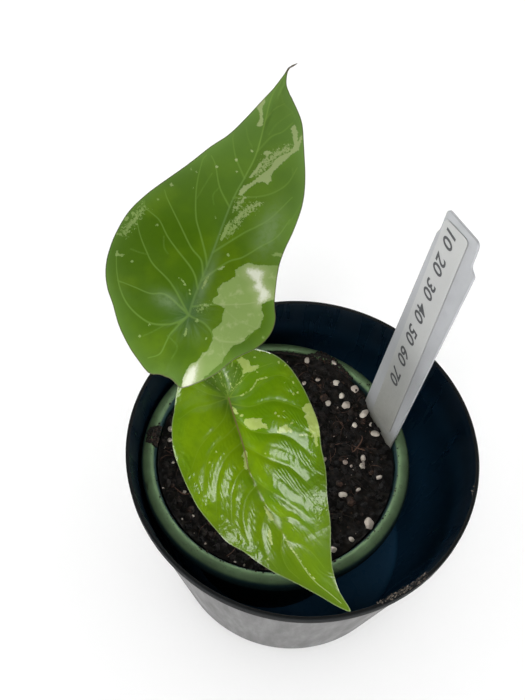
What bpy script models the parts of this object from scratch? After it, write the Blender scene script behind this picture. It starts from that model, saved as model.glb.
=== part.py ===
"""A young variegated alocasia in its nursery pot, set in a larger cover pot.

Lengths below are millimetres. Everything is turned into metres as each mesh
is made. The origin is the middle of the cover pot's underside, with +Z up and
the viewer's side at -Y.
"""

import math
import random

import bmesh
import bpy
import numpy as np
from mathutils import Matrix, Vector, noise
from mathutils.geometry import delaunay_2d_cdt

MM = 0.001
CLEARANCE = 0.3

# Cover pot, outside sizes
COVER_RADIUS = 65.0
COVER_HEIGHT = 93.0
COVER_BASE_RADIUS = 51.4
COVER_WALL = 1.3
COVER_FLOOR = 1.6
COVER_BAND = 3.8
COVER_BAND_STEP = 0.8
COVER_LIP_WIDTH = 1.2
COVER_LIP_ROUNDING = 0.4
COVER_FLOOR_ROUNDING = 1.8
COVER_FOOT_ROUNDING = 1.0
COVER_STEPS = 64

# Nursery pot, which stands off centre in the cover pot
NURSERY_CENTRE = (-9.4, -0.5)
NURSERY_FOOT = COVER_FLOOR + CLEARANCE
NURSERY_TOP = 81.7
NURSERY_RIM_RADIUS = 51.3
NURSERY_MOUTH_RADIUS = 46.0
NURSERY_BASE_RADIUS = 35.8
NURSERY_SKIRT = 6.2
NURSERY_WALL = 1.0
NURSERY_FLOOR = 1.2
NURSERY_ROLL = 1.6
NURSERY_FOOT_ROUNDING = 1.0
NURSERY_STEPS = 60
DRAIN_RADIUS = 4.0
DRAIN_RING = 22.0
DRAIN_COUNT = 6
DRAIN_SIDES = 12

# Soil and the white grains in it
SOIL_LEVEL = 78.5
SOIL_RADIUS = NURSERY_MOUTH_RADIUS - 3 * CLEARANCE
SOIL_SPACING = 2.7
# Each mound is x, y, its rise and its width
SOIL_MOUNDS = (
    (20.0, 31.0, 1.6, 8.0),
    (6.0, 42.0, 3.0, 11.0),
    (-13.0, 42.0, 2.6, 11.0),
    (-21.0, 12.0, 1.2, 9.0),
)
# Each grain is x, y and its half width
SHOWN_GRAINS = (
    (-3.5, 42.9, 1.3),
    (-3.2, 32.8, 1.2),
    (9.6, 34.7, 1.6),
    (17.2, 33.4, 1.4),
    (12.5, 29.9, 1.4),
    (5.2, 27.9, 0.9),
    (14.7, 26.0, 1.6),
    (22.2, 23.4, 2.0),
    (18.9, 17.0, 1.6),
    (27.2, 15.6, 1.5),
    (17.2, 1.4, 1.1),
    (23.9, 4.5, 1.2),
    (23.8, 1.2, 1.4),
    (30.4, -2.7, 1.4),
    (23.3, -9.0, 0.9),
    (17.7, -12.0, 1.4),
    (28.5, -21.8, 2.2),
    (22.9, -28.8, 0.9),
    (16.8, -33.9, 1.1),
    (-51.6, 3.1, 1.2),
    (-50.8, -1.6, 1.1),
    (-40.6, -21.5, 0.9),
)
# Each roughness is its wave length and its height
SOIL_ROUGHNESS = ((6.0, 0.9), (2.4, 0.7))
# More grains lie under the blades, left of this x, at random
HIDDEN_GRAINS = 16
HIDDEN_EDGE = 12.0
HIDDEN_SIZES = (1.2, 1.7)
GRAIN_SEED = 11
GRAIN_LIFT = 0.15
GRAIN_SQUEEZE = 0.85
GRAIN_ROOM = 5.0
STEM_ROOM = 6.0
HOLE_SIDES = 16
HOLE_RISE = 12.0

# Plant label: foot is where its middle line meets the soil
LABEL_FOOT = (27.9, 19.8, SOIL_LEVEL)
LABEL_UP = (0.113, 0.165, 0.980)
LABEL_ACROSS = (0.563, -0.823, 0.073)
LABEL_WIDTH = 21.4
LABEL_THICKNESS = 1.0
LABEL_SHOULDER = 90.5
LABEL_HEAD = 10.6
LABEL_NOTCH = (2.9, 1.8)
LABEL_HEAD_INSETS = (0.6, 3.7)
LABEL_TAPER_START = -8.0
LABEL_POINT = -24.0
LABEL_ROUNDING = 1.6

# Printed strip on the label, stuck on a little askew
STRIP_WIDTH = 12.4
STRIP_BOTTOM = 4.6
STRIP_TOP = 98.8
STRIP_FOOT = 1.4
STRIP_LEAN = 2.6
STRIP_GAP = 0.1
STRIP_THICKNESS = 0.3
STRIP_ROUNDING = 2.0

# Blades and stalks
BLADE_THICKNESS = 0.8
BLADE_SPACING = 2.9
EDGE_STEP = 2.4
VEIN_STEP = 2.6
RIB_WIDTH = 1.1
RIB_AT_TIP = 0.1
SIDE_RIB = 0.35
FOLD_SOFTNESS = 2.0
QUILT_MARGIN = 3.0
WAVE_REACH = 5.0
WAVE_PHASES = (0.8, 2.6)
STALK_SIDES = 10
STALK_STEP = 5.0
STALK_DEPTH = 12.0
JOINT_SWELL = 1.6
JOINT_REACH = 3.0

# The older leaf. Its outline and veins are (along, across) from where the
# stalk meets the blade: along runs to the tip, across to the leaf's left.
UPPER = {
    "attach": (-42.3, 8.2, 150.0),
    "yaw": 79.1,
    "pitch": 17.6,
    "roll": 15.1,
    "length": 95.7,
    "arch": 3.0,
    "base_droop": 0.012,
    "fold": 0.10,
    "curl": 0.0035,
    "quilt": 0.45,
    "quilt_reach": 2.6,
    "wave": 0.6,
    "wave_length": 27.0,
    "rib": 1.5,
    "outline": (
        (99.5, -1.8), (96.5, 0.6), (90.5, 2.0), (81, 4.5), (70.5, 7.5), (62, 10.5),
        (55, 14.5), (47.5, 18.5), (39.5, 23), (31, 27.5), (23.5, 30.5), (15.5, 31.5),
        (8, 31), (2.5, 29.5), (-2, 27), (-6, 23.5), (-11, 19.5), (-15.5, 14.5),
        (-18.5, 10), (-21, 5), (-20.2, 1.5), (-20, -2), (-21, -4.5), (-21.5, -6.5),
        (-19, -10), (-14, -15), (-7.5, -19), (-2, -24), (3.5, -26.5), (9, -26.5),
        (14.5, -24), (24, -21.5), (31, -21), (40, -21.5), (49.5, -21), (59.5, -18.5),
        (70.5, -14), (78, -10.5), (84.5, -5.5), (90, -1.6), (95.5, -0.9),
    ),
    "midrib": (
        (0, 0), (6, 0.5), (20.5, 0.5), (40, 1), (51, 0), (60.5, -0.5), (73.5, 1),
        (83.5, 2), (94, 0.5),
    ),
    "veins": (
        ((50, 0), (53.5, 3.5), (56.5, 6), (61, 8.5), (63, 9)),
        ((38.5, 1), (43.5, 6.5), (50, 10.5), (52.5, 13)),
        ((17, 0.5), (27, 7), (34, 11.5), (43, 14.5), (50, 15.5)),
        ((10, 0.5), (20.5, 10), (25, 16), (30.5, 20), (35, 22.5)),
        ((0, 0), (7, 9), (10.5, 16.5), (14, 20.5), (18.5, 24.5), (24, 28)),
        ((0, 0), (3, 9), (1.5, 14), (1.5, 19.5), (1.5, 25)),
        ((0, 0), (-3.5, 2.5), (-6, 6.5), (-7, 11.5), (-5, 18), (-1.5, 22.5), (3.5, 26),
         (9, 28.5)),
        ((0, 0), (-7, 3), (-10.5, 3.5), (-14.5, 4), (-17, 7)),
        ((0, 0), (-1, -6), (-3.5, -9.5), (-6.5, -10), (-11, -9), (-15, -7)),
        ((-3.5, -9.5), (-4, -13), (-1.5, -19), (2.5, -21)),
        ((3, 0), (5.5, -5), (7.5, -10), (10, -15.5), (13, -20)),
        ((12, 0.5), (20.5, -5), (24, -9), (29.5, -13), (35, -17), (42.5, -19)),
        ((22, 0.5), (32, -6.5), (35.5, -9.5), (40.5, -13), (50, -17)),
        ((42, 1), (46, -7), (50, -11.5), (54.5, -14), (61, -15)),
        ((61, -0.5), (68, -3), (71.5, -6), (76, -8)),
        ((73.5, 1), (78.5, -0.5), (82, -3)),
    ),
    "stalk": (
        (-23.5, 14.5, SOIL_LEVEL - STALK_DEPTH), (-23.5, 14.5, 80), (-25.5, 16.8, 98),
        (-30.5, 18.2, 120), (-37.5, 14.5, 140), (-42.3, 8.2, 149.3),
    ),
    "stalk_radii": (2.6, 1.6),
}

# The newer leaf, more deeply quilted, with its tip hanging over the pot's edge
LOWER = {
    "attach": (-26.8, -5.7, 126.0),
    "yaw": -48.5,
    "pitch": -16.4,
    "roll": 14.5,
    "length": 77.9,
    "arch": 4.0,
    "base_droop": 0.012,
    "fold": 0.28,
    "curl": 0.010,
    "quilt": 1.0,
    "quilt_reach": 2.2,
    "wave": 0.7,
    "wave_length": 21.0,
    "rib": 1.4,
    "outline": (
        (78.5, 0), (71.5, 0), (65, 1.5), (58.5, 4.5), (52.5, 8), (44.5, 11.5),
        (37, 15.5), (30, 18), (23, 21), (15, 22.5), (8.5, 23), (1, 22.5), (-5, 20.5),
        (-9.5, 17), (-13, 13), (-14.5, 8.5), (-17.5, 4.5), (-19, -0.5), (-18.5, -6.5),
        (-15.5, -11), (-11, -14.5), (-5.5, -18), (-0.5, -21.5), (6.5, -24.5),
        (14, -25.5), (21, -26), (27.5, -26), (35, -24.5), (41, -23), (46, -20),
        (50.5, -18), (56, -15), (63.5, -10), (70, -6), (75.5, -2.8),
    ),
    "midrib": (
        (0, 0), (6.5, -1.5), (14, -3), (20, -4.5), (25, -6), (35, -6.8), (47.5, -6.5),
        (60, -6), (65.5, -5), (70.5, -3), (75, -1.4),
    ),
    "veins": (
        ((0, 0), (-1, -6.5), (-2.5, -11.5), (-2, -18)),
        ((0, 0), (5, -4), (7, -8), (8.5, -12.5), (10.5, -17), (15, -22)),
        ((9.5, -2), (11, -6.5), (12, -11), (14.5, -15.5), (18.5, -19), (24, -22.5)),
        ((15.5, -3.5), (17, -9.5), (20, -14), (24, -17.5), (31, -21.5)),
        ((23, -5.5), (24.5, -10), (28, -14), (33, -17), (39.5, -20.5)),
        ((30, -6.8), (32, -11), (36, -14.5), (41.5, -16.5), (47, -17.5)),
        ((38.5, -6.8), (42, -11), (46, -13), (51, -14), (56, -13.5)),
        ((47.5, -6.5), (51.5, -9.5), (57, -10.5), (62, -9)),
        ((0, 0), (-2.5, 6.5), (-3.5, 10.5), (-3.5, 14), (-2.5, 18.5)),
        ((0, 0), (2, 5.5), (1.5, 9), (1, 14.5), (3, 19), (7, 21)),
        ((2, -0.5), (6.5, 4.5), (8, 10), (9.5, 13), (12.5, 16), (16, 18.5), (20, 20)),
        ((7.5, -1.5), (13.5, 1), (17, 4.5), (20, 9), (24.5, 12), (33, 14.5)),
        ((16.5, -3.5), (22.5, 0), (25.5, 2), (28.5, 4.5), (31.5, 6.5), (42, 9.5)),
        ((27, -6.2), (32.5, -4), (36, -2), (40.5, 0), (43.5, 1.5), (51, 4.5)),
        ((37, -6.8), (42.5, -4.5), (44, -2), (48.5, 0.5), (57, 2.5)),
        ((50, -6.5), (52.5, -3.5), (57, -1.5), (63, -0.5)),
        ((0, 0), (-4.5, 1.5), (-9, 2.5), (-15, 3)),
        ((0, 0), (-6, -1.5), (-11, -3.5), (-16, -5)),
        ((0, 0), (-4.5, -5), (-9, -8), (-12.5, -11)),
    ),
    "stalk": (
        (-18.5, 10, SOIL_LEVEL - STALK_DEPTH), (-18.5, 10, 80), (-19, 8, 95),
        (-22.3, 1.5, 113), (-26.8, -5.7, 125.4),
    ),
    "stalk_radii": (2.3, 1.5),
}


def clear_scene():
    for obj in list(bpy.data.objects):
        bpy.data.objects.remove(obj, do_unlink=True)


def material(name, colour, roughness, metallic=0.0):
    made = bpy.data.materials.new(name)
    made.use_nodes = True
    shader = made.node_tree.nodes["Principled BSDF"]
    shader.inputs["Base Color"].default_value = (*colour, 1.0)
    shader.inputs["Roughness"].default_value = roughness
    shader.inputs["Metallic"].default_value = metallic
    made.diffuse_color = (*colour, 1.0)
    return made


def mesh_object(name, points, faces, finish=None, edges=()):
    """An object whose mesh has these points, given in millimetres."""
    mesh = bpy.data.meshes.new(name)
    mesh.from_pydata([[float(c) * MM for c in p] for p in points], edges, faces)
    mesh.update()
    obj = bpy.data.objects.new(name, mesh)
    bpy.context.scene.collection.objects.link(obj)
    if finish:
        mesh.materials.append(finish)
    return obj


def apply_boolean(obj, others, operation):
    """Adds or cuts the other objects in one Boolean, applies it and removes them."""
    group = bpy.data.collections.new(obj.name + "_tools")
    bpy.context.scene.collection.children.link(group)
    for other in others:
        bpy.context.scene.collection.objects.unlink(other)
        group.objects.link(other)
    modifier = obj.modifiers.new("join", "BOOLEAN")
    modifier.operand_type = "COLLECTION"
    modifier.collection = group
    modifier.operation = operation
    modifier.solver = "EXACT"
    bpy.context.view_layer.update()
    graph = bpy.context.evaluated_depsgraph_get()
    made = bpy.data.meshes.new_from_object(obj.evaluated_get(graph))
    obj.modifiers.clear()
    obj.data = made
    for other in others:
        bpy.data.objects.remove(other, do_unlink=True)
    bpy.data.collections.remove(group)


def smooth_path(points, step, closed=False):
    """Points about a step apart along a Catmull-Rom curve through those given."""
    given = np.array(points, float)
    count = len(given)
    spans = count if closed else count - 1
    out = []
    for i in range(spans):
        if closed:
            before, start, end, after = (given[(i + k) % count] for k in (-1, 0, 1, 2))
        else:
            start, end = given[i], given[i + 1]
            before = given[i - 1] if i else 2 * start - end
            after = given[i + 2] if i + 2 < count else 2 * end - start
        pieces = max(1, round(np.linalg.norm(end - start) / step))
        for t in np.arange(pieces) / pieces:
            out.append(
                0.5 * (
                    2 * start + (end - before) * t
                    + (2 * before - 5 * start + 4 * end - after) * t ** 2
                    + (3 * start - 3 * end + after - before) * t ** 3
                )
            )
    if not closed:
        out.append(given[-1])
    return np.array(out)


def distance_to(path, points):
    """How far each point lies from an open path."""
    starts, ends = path[:-1], path[1:]
    along = ends - starts
    size = (along ** 2).sum(axis=1)
    offset = points[:, None, :] - starts[None]
    t = np.clip((offset * along[None]).sum(axis=2) / size[None], 0, 1)
    gap = offset - t[..., None] * along[None]
    return np.sqrt((gap ** 2).sum(axis=2)).min(axis=1)


def inside(outline, points):
    """True for each point inside a closed outline."""
    x, y = points[:, 0], points[:, 1]
    found = np.zeros(len(points), bool)
    for (ax, ay), (bx, by) in zip(outline, np.roll(outline, -1, axis=0)):
        if ay == by:
            continue
        crosses = (ay > y) != (by > y)
        found ^= crosses & (x < (bx - ax) * (y - ay) / (by - ay) + ax)
    return found


def triangulated(outline, paths, spacing):
    """Flat triangles that fill an outline, follow the paths and are about even."""
    rim = np.vstack([outline, outline[:1]])
    low, high = outline.min(axis=0), outline.max(axis=0)
    rows = np.arange(low[1], high[1], spacing * math.sqrt(0.75))
    lattice = np.array(
        [
            (x + (k % 2) * spacing / 2, y)
            for k, y in enumerate(rows)
            for x in np.arange(low[0], high[0], spacing)
        ]
    )
    keep = inside(outline, lattice) & (distance_to(rim, lattice) > 0.55 * spacing)
    for path in paths:
        keep &= distance_to(path, lattice) > 0.5 * spacing
    points = list(outline)
    edges = [(i, (i + 1) % len(outline)) for i in range(len(outline))]
    for path in paths:
        first = len(points)
        points.extend(path)
        edges.extend((first + i, first + i + 1) for i in range(len(path) - 1))
    points.extend(lattice[keep])
    found = delaunay_2d_cdt([Vector(p) for p in points], edges, [], 1, 0.05)
    flat = np.array([tuple(p) for p in found[0]])
    faces = np.array([face for face in found[2] if len(face) == 3])
    a, b, c = (flat[faces[:, k]] for k in range(3))
    turn = (b[:, 0] - a[:, 0]) * (c[:, 1] - a[:, 1]) - (b[:, 1] - a[:, 1]) * (c[:, 0] - a[:, 0])
    faces[turn < 0] = faces[turn < 0][:, ::-1]
    return flat, faces


def border_edges(faces):
    """The directed edges that only one triangle has."""
    directed = {
        (int(face[k]), int(face[(k + 1) % 3])) for face in faces for k in range(3)
    }
    return [(a, b) for a, b in directed if (b, a) not in directed]


def turned(name, profile, centre, steps, finish):
    """A closed body of revolution, its profile running down the outer side."""
    points = [(radius, 0.0, height) for radius, height in profile]
    edges = [(i, i + 1) for i in range(len(points) - 1)]
    obj = mesh_object(name, points, [], finish, edges)
    screw = obj.modifiers.new("turn", "SCREW")
    screw.steps = steps
    screw.render_steps = steps
    screw.use_merge_vertices = True
    screw.merge_threshold = 0.00002
    screw.use_smooth_shade = True
    obj.location = (centre[0] * MM, centre[1] * MM, 0.0)
    return obj


def cylinder(name, radius, low, high, centre, sides):
    """An upright closed cylinder between two heights."""
    ring = [
        (
            centre[0] + radius * math.cos(2 * math.pi * i / sides),
            centre[1] + radius * math.sin(2 * math.pi * i / sides),
        )
        for i in range(sides)
    ]
    points = [(x, y, low) for x, y in ring] + [(x, y, high) for x, y in ring]
    faces = [tuple(reversed(range(sides))), tuple(range(sides, 2 * sides))]
    faces += [
        (i, (i + 1) % sides, sides + (i + 1) % sides, sides + i) for i in range(sides)
    ]
    return mesh_object(name, points, faces)


def tube(name, route, radii, sides, finish=None):
    """A closed round stalk along a route, its radius changing from end to end."""
    path = smooth_path(route, STALK_STEP)
    count = len(path)
    points, side = [], np.array((0.0, 1.0, 0.0))
    for i, centre in enumerate(path):
        ahead = path[min(i + 1, count - 1)] - path[max(i - 1, 0)]
        ahead /= np.linalg.norm(ahead)
        side = side - ahead * (side @ ahead)
        side /= np.linalg.norm(side)
        across = np.cross(ahead, side)
        radius = radii[0] + (radii[1] - radii[0]) * i / (count - 1)
        for k in range(sides):
            angle = 2 * math.pi * k / sides
            points.append(centre + radius * (math.cos(angle) * side + math.sin(angle) * across))
    faces = [tuple(reversed(range(sides)))]
    faces += [
        (
            i * sides + k,
            i * sides + (k + 1) % sides,
            (i + 1) * sides + (k + 1) % sides,
            (i + 1) * sides + k,
        )
        for i in range(count - 1)
        for k in range(sides)
    ]
    faces.append(tuple(range((count - 1) * sides, count * sides)))
    return mesh_object(name, points, faces, finish)


def leaf_axes(leaf):
    """Unit vectors along the leaf, to its left, and out of its upper face."""
    yaw, pitch, roll = (math.radians(leaf[key]) for key in ("yaw", "pitch", "roll"))
    along = np.array(
        (
            math.cos(pitch) * math.cos(yaw),
            math.cos(pitch) * math.sin(yaw),
            math.sin(pitch),
        )
    )
    level = np.cross((0, 0, 1), along)
    level /= np.linalg.norm(level)
    left = level * math.cos(roll) + np.cross(along, level) * math.sin(roll)
    return along, left, np.cross(along, left)


def sheet_height(leaf, along, across):
    """The smooth bend of a blade above the plane through its stalk and tip."""
    slope = 4 * leaf["arch"] / leaf["length"]
    bend = np.where(
        along > 0,
        slope * along * (1 - along / leaf["length"]),
        slope * along - leaf["base_droop"] * along ** 2,
    )
    spread = np.sqrt(across ** 2 + FOLD_SOFTNESS ** 2) - FOLD_SOFTNESS
    return bend + leaf["fold"] * spread - leaf["curl"] * across ** 2


def blade(name, leaf, finish):
    """A thin closed leaf with puffed areas between its veins and ribs below."""
    outline = smooth_path(leaf["outline"], EDGE_STEP, closed=True)
    midrib = smooth_path(leaf["midrib"], VEIN_STEP)
    veins = [smooth_path(vein, VEIN_STEP) for vein in leaf["veins"]]
    flat, faces = triangulated(outline, [midrib, *veins], BLADE_SPACING)
    along, across = flat[:, 0], flat[:, 1]
    to_midrib = distance_to(midrib, flat)
    to_vein = np.min([distance_to(vein, flat) for vein in veins], axis=0)
    to_edge = distance_to(np.vstack([outline, outline[:1]]), flat)
    nearest = np.minimum(to_midrib, to_vein)
    puff = 1 - np.exp(-((nearest / leaf["quilt_reach"]) ** 2))
    top = sheet_height(leaf, along, across)
    top = top + leaf["quilt"] * puff * np.clip(to_edge / QUILT_MARGIN, 0, 1)
    phase = 2 * math.pi * along / leaf["wave_length"] + np.where(across > 0, *WAVE_PHASES)
    top = top + leaf["wave"] * np.exp(-to_edge / WAVE_REACH) * np.sin(phase)
    fade = np.clip(1 - along / leaf["length"], RIB_AT_TIP, 1)
    rib = leaf["rib"] * fade * np.exp(-((to_midrib / RIB_WIDTH) ** 2))
    side_rib = SIDE_RIB * np.exp(-((to_vein / RIB_WIDTH) ** 2))
    swell = JOINT_SWELL * np.exp(-(along ** 2 + across ** 2) / JOINT_REACH ** 2)
    bottom = top - BLADE_THICKNESS - np.maximum(rib, side_rib) - swell
    axes = leaf_axes(leaf)
    plane = np.array(leaf["attach"]) + along[:, None] * axes[0] + across[:, None] * axes[1]
    points = np.vstack([plane + top[:, None] * axes[2], plane + bottom[:, None] * axes[2]])
    count = len(flat)
    solid = [tuple(int(i) for i in face) for face in faces]
    solid += [tuple(int(i) + count for i in reversed(face)) for face in faces]
    for a, b in border_edges(faces):
        solid.append((b, a, a + count))
        solid.append((b, a + count, b + count))
    return mesh_object(name, points, solid, finish)


def leaf_object(name, leaf, finish):
    """A blade with its stalk, grown as one piece."""
    obj = blade(name, leaf, finish)
    route = [np.array(point, float) for point in leaf["stalk"]]
    route[0] = route[0] + (0, 0, CLEARANCE)
    route[-1] = route[-1] - leaf_axes(leaf)[2] * BLADE_THICKNESS
    stalk = tube(name + "_stalk", route, leaf["stalk_radii"], STALK_SIDES)
    apply_boolean(obj, [stalk], "UNION")
    return obj


def cover_pot(finish):
    """The outer pot: a plain tapered shell with a banded rim."""
    under_band = COVER_HEIGHT - COVER_BAND
    wall_top = COVER_RADIUS - COVER_BAND_STEP
    inner_top = COVER_RADIUS - COVER_LIP_WIDTH
    inner_base = COVER_BASE_RADIUS - COVER_WALL
    lip, corner, heel = COVER_LIP_ROUNDING, COVER_FLOOR_ROUNDING, COVER_FOOT_ROUNDING
    profile = (
        (0.0, COVER_FLOOR),
        (inner_base - corner, COVER_FLOOR),
        (inner_base - 0.3 * corner, COVER_FLOOR + 0.3 * corner),
        (inner_base, COVER_FLOOR + corner),
        (wall_top - COVER_WALL, under_band),
        (inner_top, COVER_HEIGHT - lip),
        (inner_top + lip, COVER_HEIGHT),
        (COVER_RADIUS - lip, COVER_HEIGHT),
        (COVER_RADIUS, COVER_HEIGHT - lip),
        (COVER_RADIUS, under_band),
        (wall_top, under_band - 0.5 * lip),
        (COVER_BASE_RADIUS, heel),
        (COVER_BASE_RADIUS - heel, 0.0),
        (0.0, 0.0),
    )
    return turned("cover_pot", profile, (0, 0), COVER_STEPS, finish)


def nursery_pot(finish):
    """The growing pot, with a rolled rim that overhangs as a skirt, and drain holes."""
    foot, top, wall = NURSERY_FOOT, NURSERY_TOP, NURSERY_WALL
    rim, mouth, base = NURSERY_RIM_RADIUS, NURSERY_MOUTH_RADIUS, NURSERY_BASE_RADIUS
    roll, heel = NURSERY_ROLL, NURSERY_FOOT_ROUNDING
    floor = foot + NURSERY_FLOOR
    profile = (
        (0.0, floor),
        (base - wall - heel, floor),
        (base - wall, floor + heel),
        (mouth, top - roll),
        (mouth + 0.25 * roll, top - 0.3 * roll),
        (mouth + roll, top),
        (rim - roll, top),
        (rim - 0.25 * roll, top - 0.3 * roll),
        (rim, top - roll),
        (rim, top - NURSERY_SKIRT),
        (rim - wall, top - NURSERY_SKIRT),
        (rim - wall, top - roll - 0.5 * wall),
        (mouth + 1.5 * wall, top - roll - 0.5 * wall),
        (mouth + wall, top - roll - 1.5 * wall),
        (base, foot + heel),
        (base - heel, foot),
        (0.0, foot),
    )
    obj = turned("nursery_pot", profile, NURSERY_CENTRE, NURSERY_STEPS, finish)
    cutters = []
    for i in range(DRAIN_COUNT):
        angle = 2 * math.pi * i / DRAIN_COUNT
        centre = (
            NURSERY_CENTRE[0] + DRAIN_RING * math.cos(angle),
            NURSERY_CENTRE[1] + DRAIN_RING * math.sin(angle),
        )
        low, high = foot - heel, floor + heel
        cutters.append(cylinder("drain", DRAIN_RADIUS, low, high, centre, DRAIN_SIDES))
    apply_boolean(obj, cutters, "DIFFERENCE")
    return obj


def soil_top(x, y):
    """Height of the crumbly soil surface."""
    height = SOIL_LEVEL
    for mound_x, mound_y, rise, width in SOIL_MOUNDS:
        height += rise * math.exp(-((x - mound_x) ** 2 + (y - mound_y) ** 2) / width ** 2)
    for wave_length, rise in SOIL_ROUGHNESS:
        height += rise * noise.noise(Vector((x, y, 0)) / wave_length)
    return height


def grain_places():
    """The grains that show, then others scattered over the rest of the soil."""
    places = list(SHOWN_GRAINS)
    draw = random.Random(GRAIN_SEED)
    standing = [leaf["stalk"][0][:2] for leaf in (UPPER, LOWER)]
    while len(places) < len(SHOWN_GRAINS) + HIDDEN_GRAINS:
        angle = draw.uniform(0, 2 * math.pi)
        reach = (SOIL_RADIUS - 4) * math.sqrt(draw.random())
        size = draw.uniform(*HIDDEN_SIZES)
        x = NURSERY_CENTRE[0] + reach * math.cos(angle)
        y = NURSERY_CENTRE[1] + reach * math.sin(angle)
        clear = all(math.dist((x, y), stem) > STEM_ROOM for stem in standing)
        apart = all(math.dist((x, y), place[:2]) > GRAIN_ROOM for place in places)
        if x < HIDDEN_EDGE and clear and apart:
            places.append((x, y, size))
    return places


def grain(place, draw):
    """One lump of twenty faces, set partly below the surface."""
    x, y, size = place
    middle = Vector((x, y, soil_top(x, y) + size * GRAIN_LIFT)) * MM
    turn = Matrix.Rotation(draw.uniform(0, 2 * math.pi), 4, Vector((1, 2, 3)))
    widths = [draw.uniform(GRAIN_SQUEEZE, 2 - GRAIN_SQUEEZE) for _ in range(2)]
    stretch = Matrix.Diagonal((*widths, GRAIN_SQUEEZE, 1))
    shape = bmesh.new()
    bmesh.ops.create_icosphere(
        shape,
        subdivisions=1,
        radius=size * MM,
        matrix=Matrix.Translation(middle) @ stretch @ turn,
    )
    mesh = bpy.data.meshes.new("grain")
    shape.to_mesh(mesh)
    shape.free()
    obj = bpy.data.objects.new("grain", mesh)
    bpy.context.scene.collection.objects.link(obj)
    return obj


def label_axes():
    """Unit vectors across the label, up it, and out of its printed face."""
    up = np.array(LABEL_UP) / np.linalg.norm(LABEL_UP)
    across = np.array(LABEL_ACROSS) - up * (np.array(LABEL_ACROSS) @ up)
    across /= np.linalg.norm(across)
    return across, up, np.cross(across, up)


def plate(name, outline, low, high, finish=None):
    """A flat plate in the label's plane, between two depths from its middle."""
    across, up, out = label_axes()
    flat = [np.array(LABEL_FOOT) + x * across + y * up for x, y in outline]
    count = len(flat)
    points = [p + out * low for p in flat] + [p + out * high for p in flat]
    faces = [tuple(reversed(range(count))), tuple(range(count, 2 * count))]
    faces += [
        (i, (i + 1) % count, count + (i + 1) % count, count + i) for i in range(count)
    ]
    return mesh_object(name, points, faces, finish)


def rounded(corners, radii, pieces=4):
    """A closed outline with each corner cut round by its radius."""
    out = []
    count = len(corners)
    for i, radius in enumerate(radii):
        corner = np.array(corners[i], float)
        if not radius:
            out.append(tuple(corner))
            continue
        before = np.array(corners[i - 1], float) - corner
        after = np.array(corners[(i + 1) % count], float) - corner
        start = corner + before / np.linalg.norm(before) * radius
        end = corner + after / np.linalg.norm(after) * radius
        for t in np.linspace(0, 1, pieces + 1):
            out.append(tuple((1 - t) ** 2 * start + 2 * t * (1 - t) * corner + t * t * end))
    return out


def label_outline():
    """The label from its point in the soil to its narrower head."""
    half = LABEL_WIDTH / 2
    top = LABEL_SHOULDER + LABEL_HEAD
    notch, drop = LABEL_NOTCH
    left_inset, right_inset = LABEL_HEAD_INSETS
    soft = LABEL_ROUNDING
    corners = (
        (0, LABEL_POINT),
        (half, LABEL_TAPER_START),
        (half, LABEL_SHOULDER),
        (half - notch, LABEL_SHOULDER + drop),
        (half - right_inset, top),
        (-half + left_inset, top),
        (-half + 1.4 * left_inset, LABEL_SHOULDER + 1.5 * drop),
        (-half, LABEL_SHOULDER + 0.3 * drop),
        (-half, LABEL_TAPER_START),
    )
    radii = (
        0.6 * soft, 0, 0.5 * soft, 0.75 * soft, 1.5 * soft, soft, 0.6 * soft, 0.4 * soft, 0,
    )
    return rounded(corners, radii)


def label_slot_outline():
    """The label's buried end, with room all round and open above the soil."""
    half = LABEL_WIDTH / 2 + CLEARANCE
    taper = LABEL_TAPER_START - CLEARANCE
    point = LABEL_POINT - 2 * CLEARANCE
    return [(0, point), (half, taper), (half, HOLE_RISE), (-half, HOLE_RISE), (-half, taper)]


def plant_label(finish):
    """The plastic stake that stands in the soil."""
    half = LABEL_THICKNESS / 2
    return plate("plant_label", label_outline(), -half, half, finish)


def label_strip(finish):
    """The printed film on the label's face."""
    low = LABEL_THICKNESS / 2 + STRIP_GAP
    half, length = STRIP_WIDTH / 2, STRIP_TOP - STRIP_BOTTOM
    square = ((-half, 0), (half, 0), (half, length), (-half, length))
    lean = math.radians(STRIP_LEAN)
    outline = [
        (
            STRIP_FOOT + x * math.cos(lean) - y * math.sin(lean),
            STRIP_BOTTOM + x * math.sin(lean) + y * math.cos(lean),
        )
        for x, y in rounded(square, (STRIP_ROUNDING,) * 4)
    ]
    return plate("label_strip", outline, low, low + STRIP_THICKNESS, finish)


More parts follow.
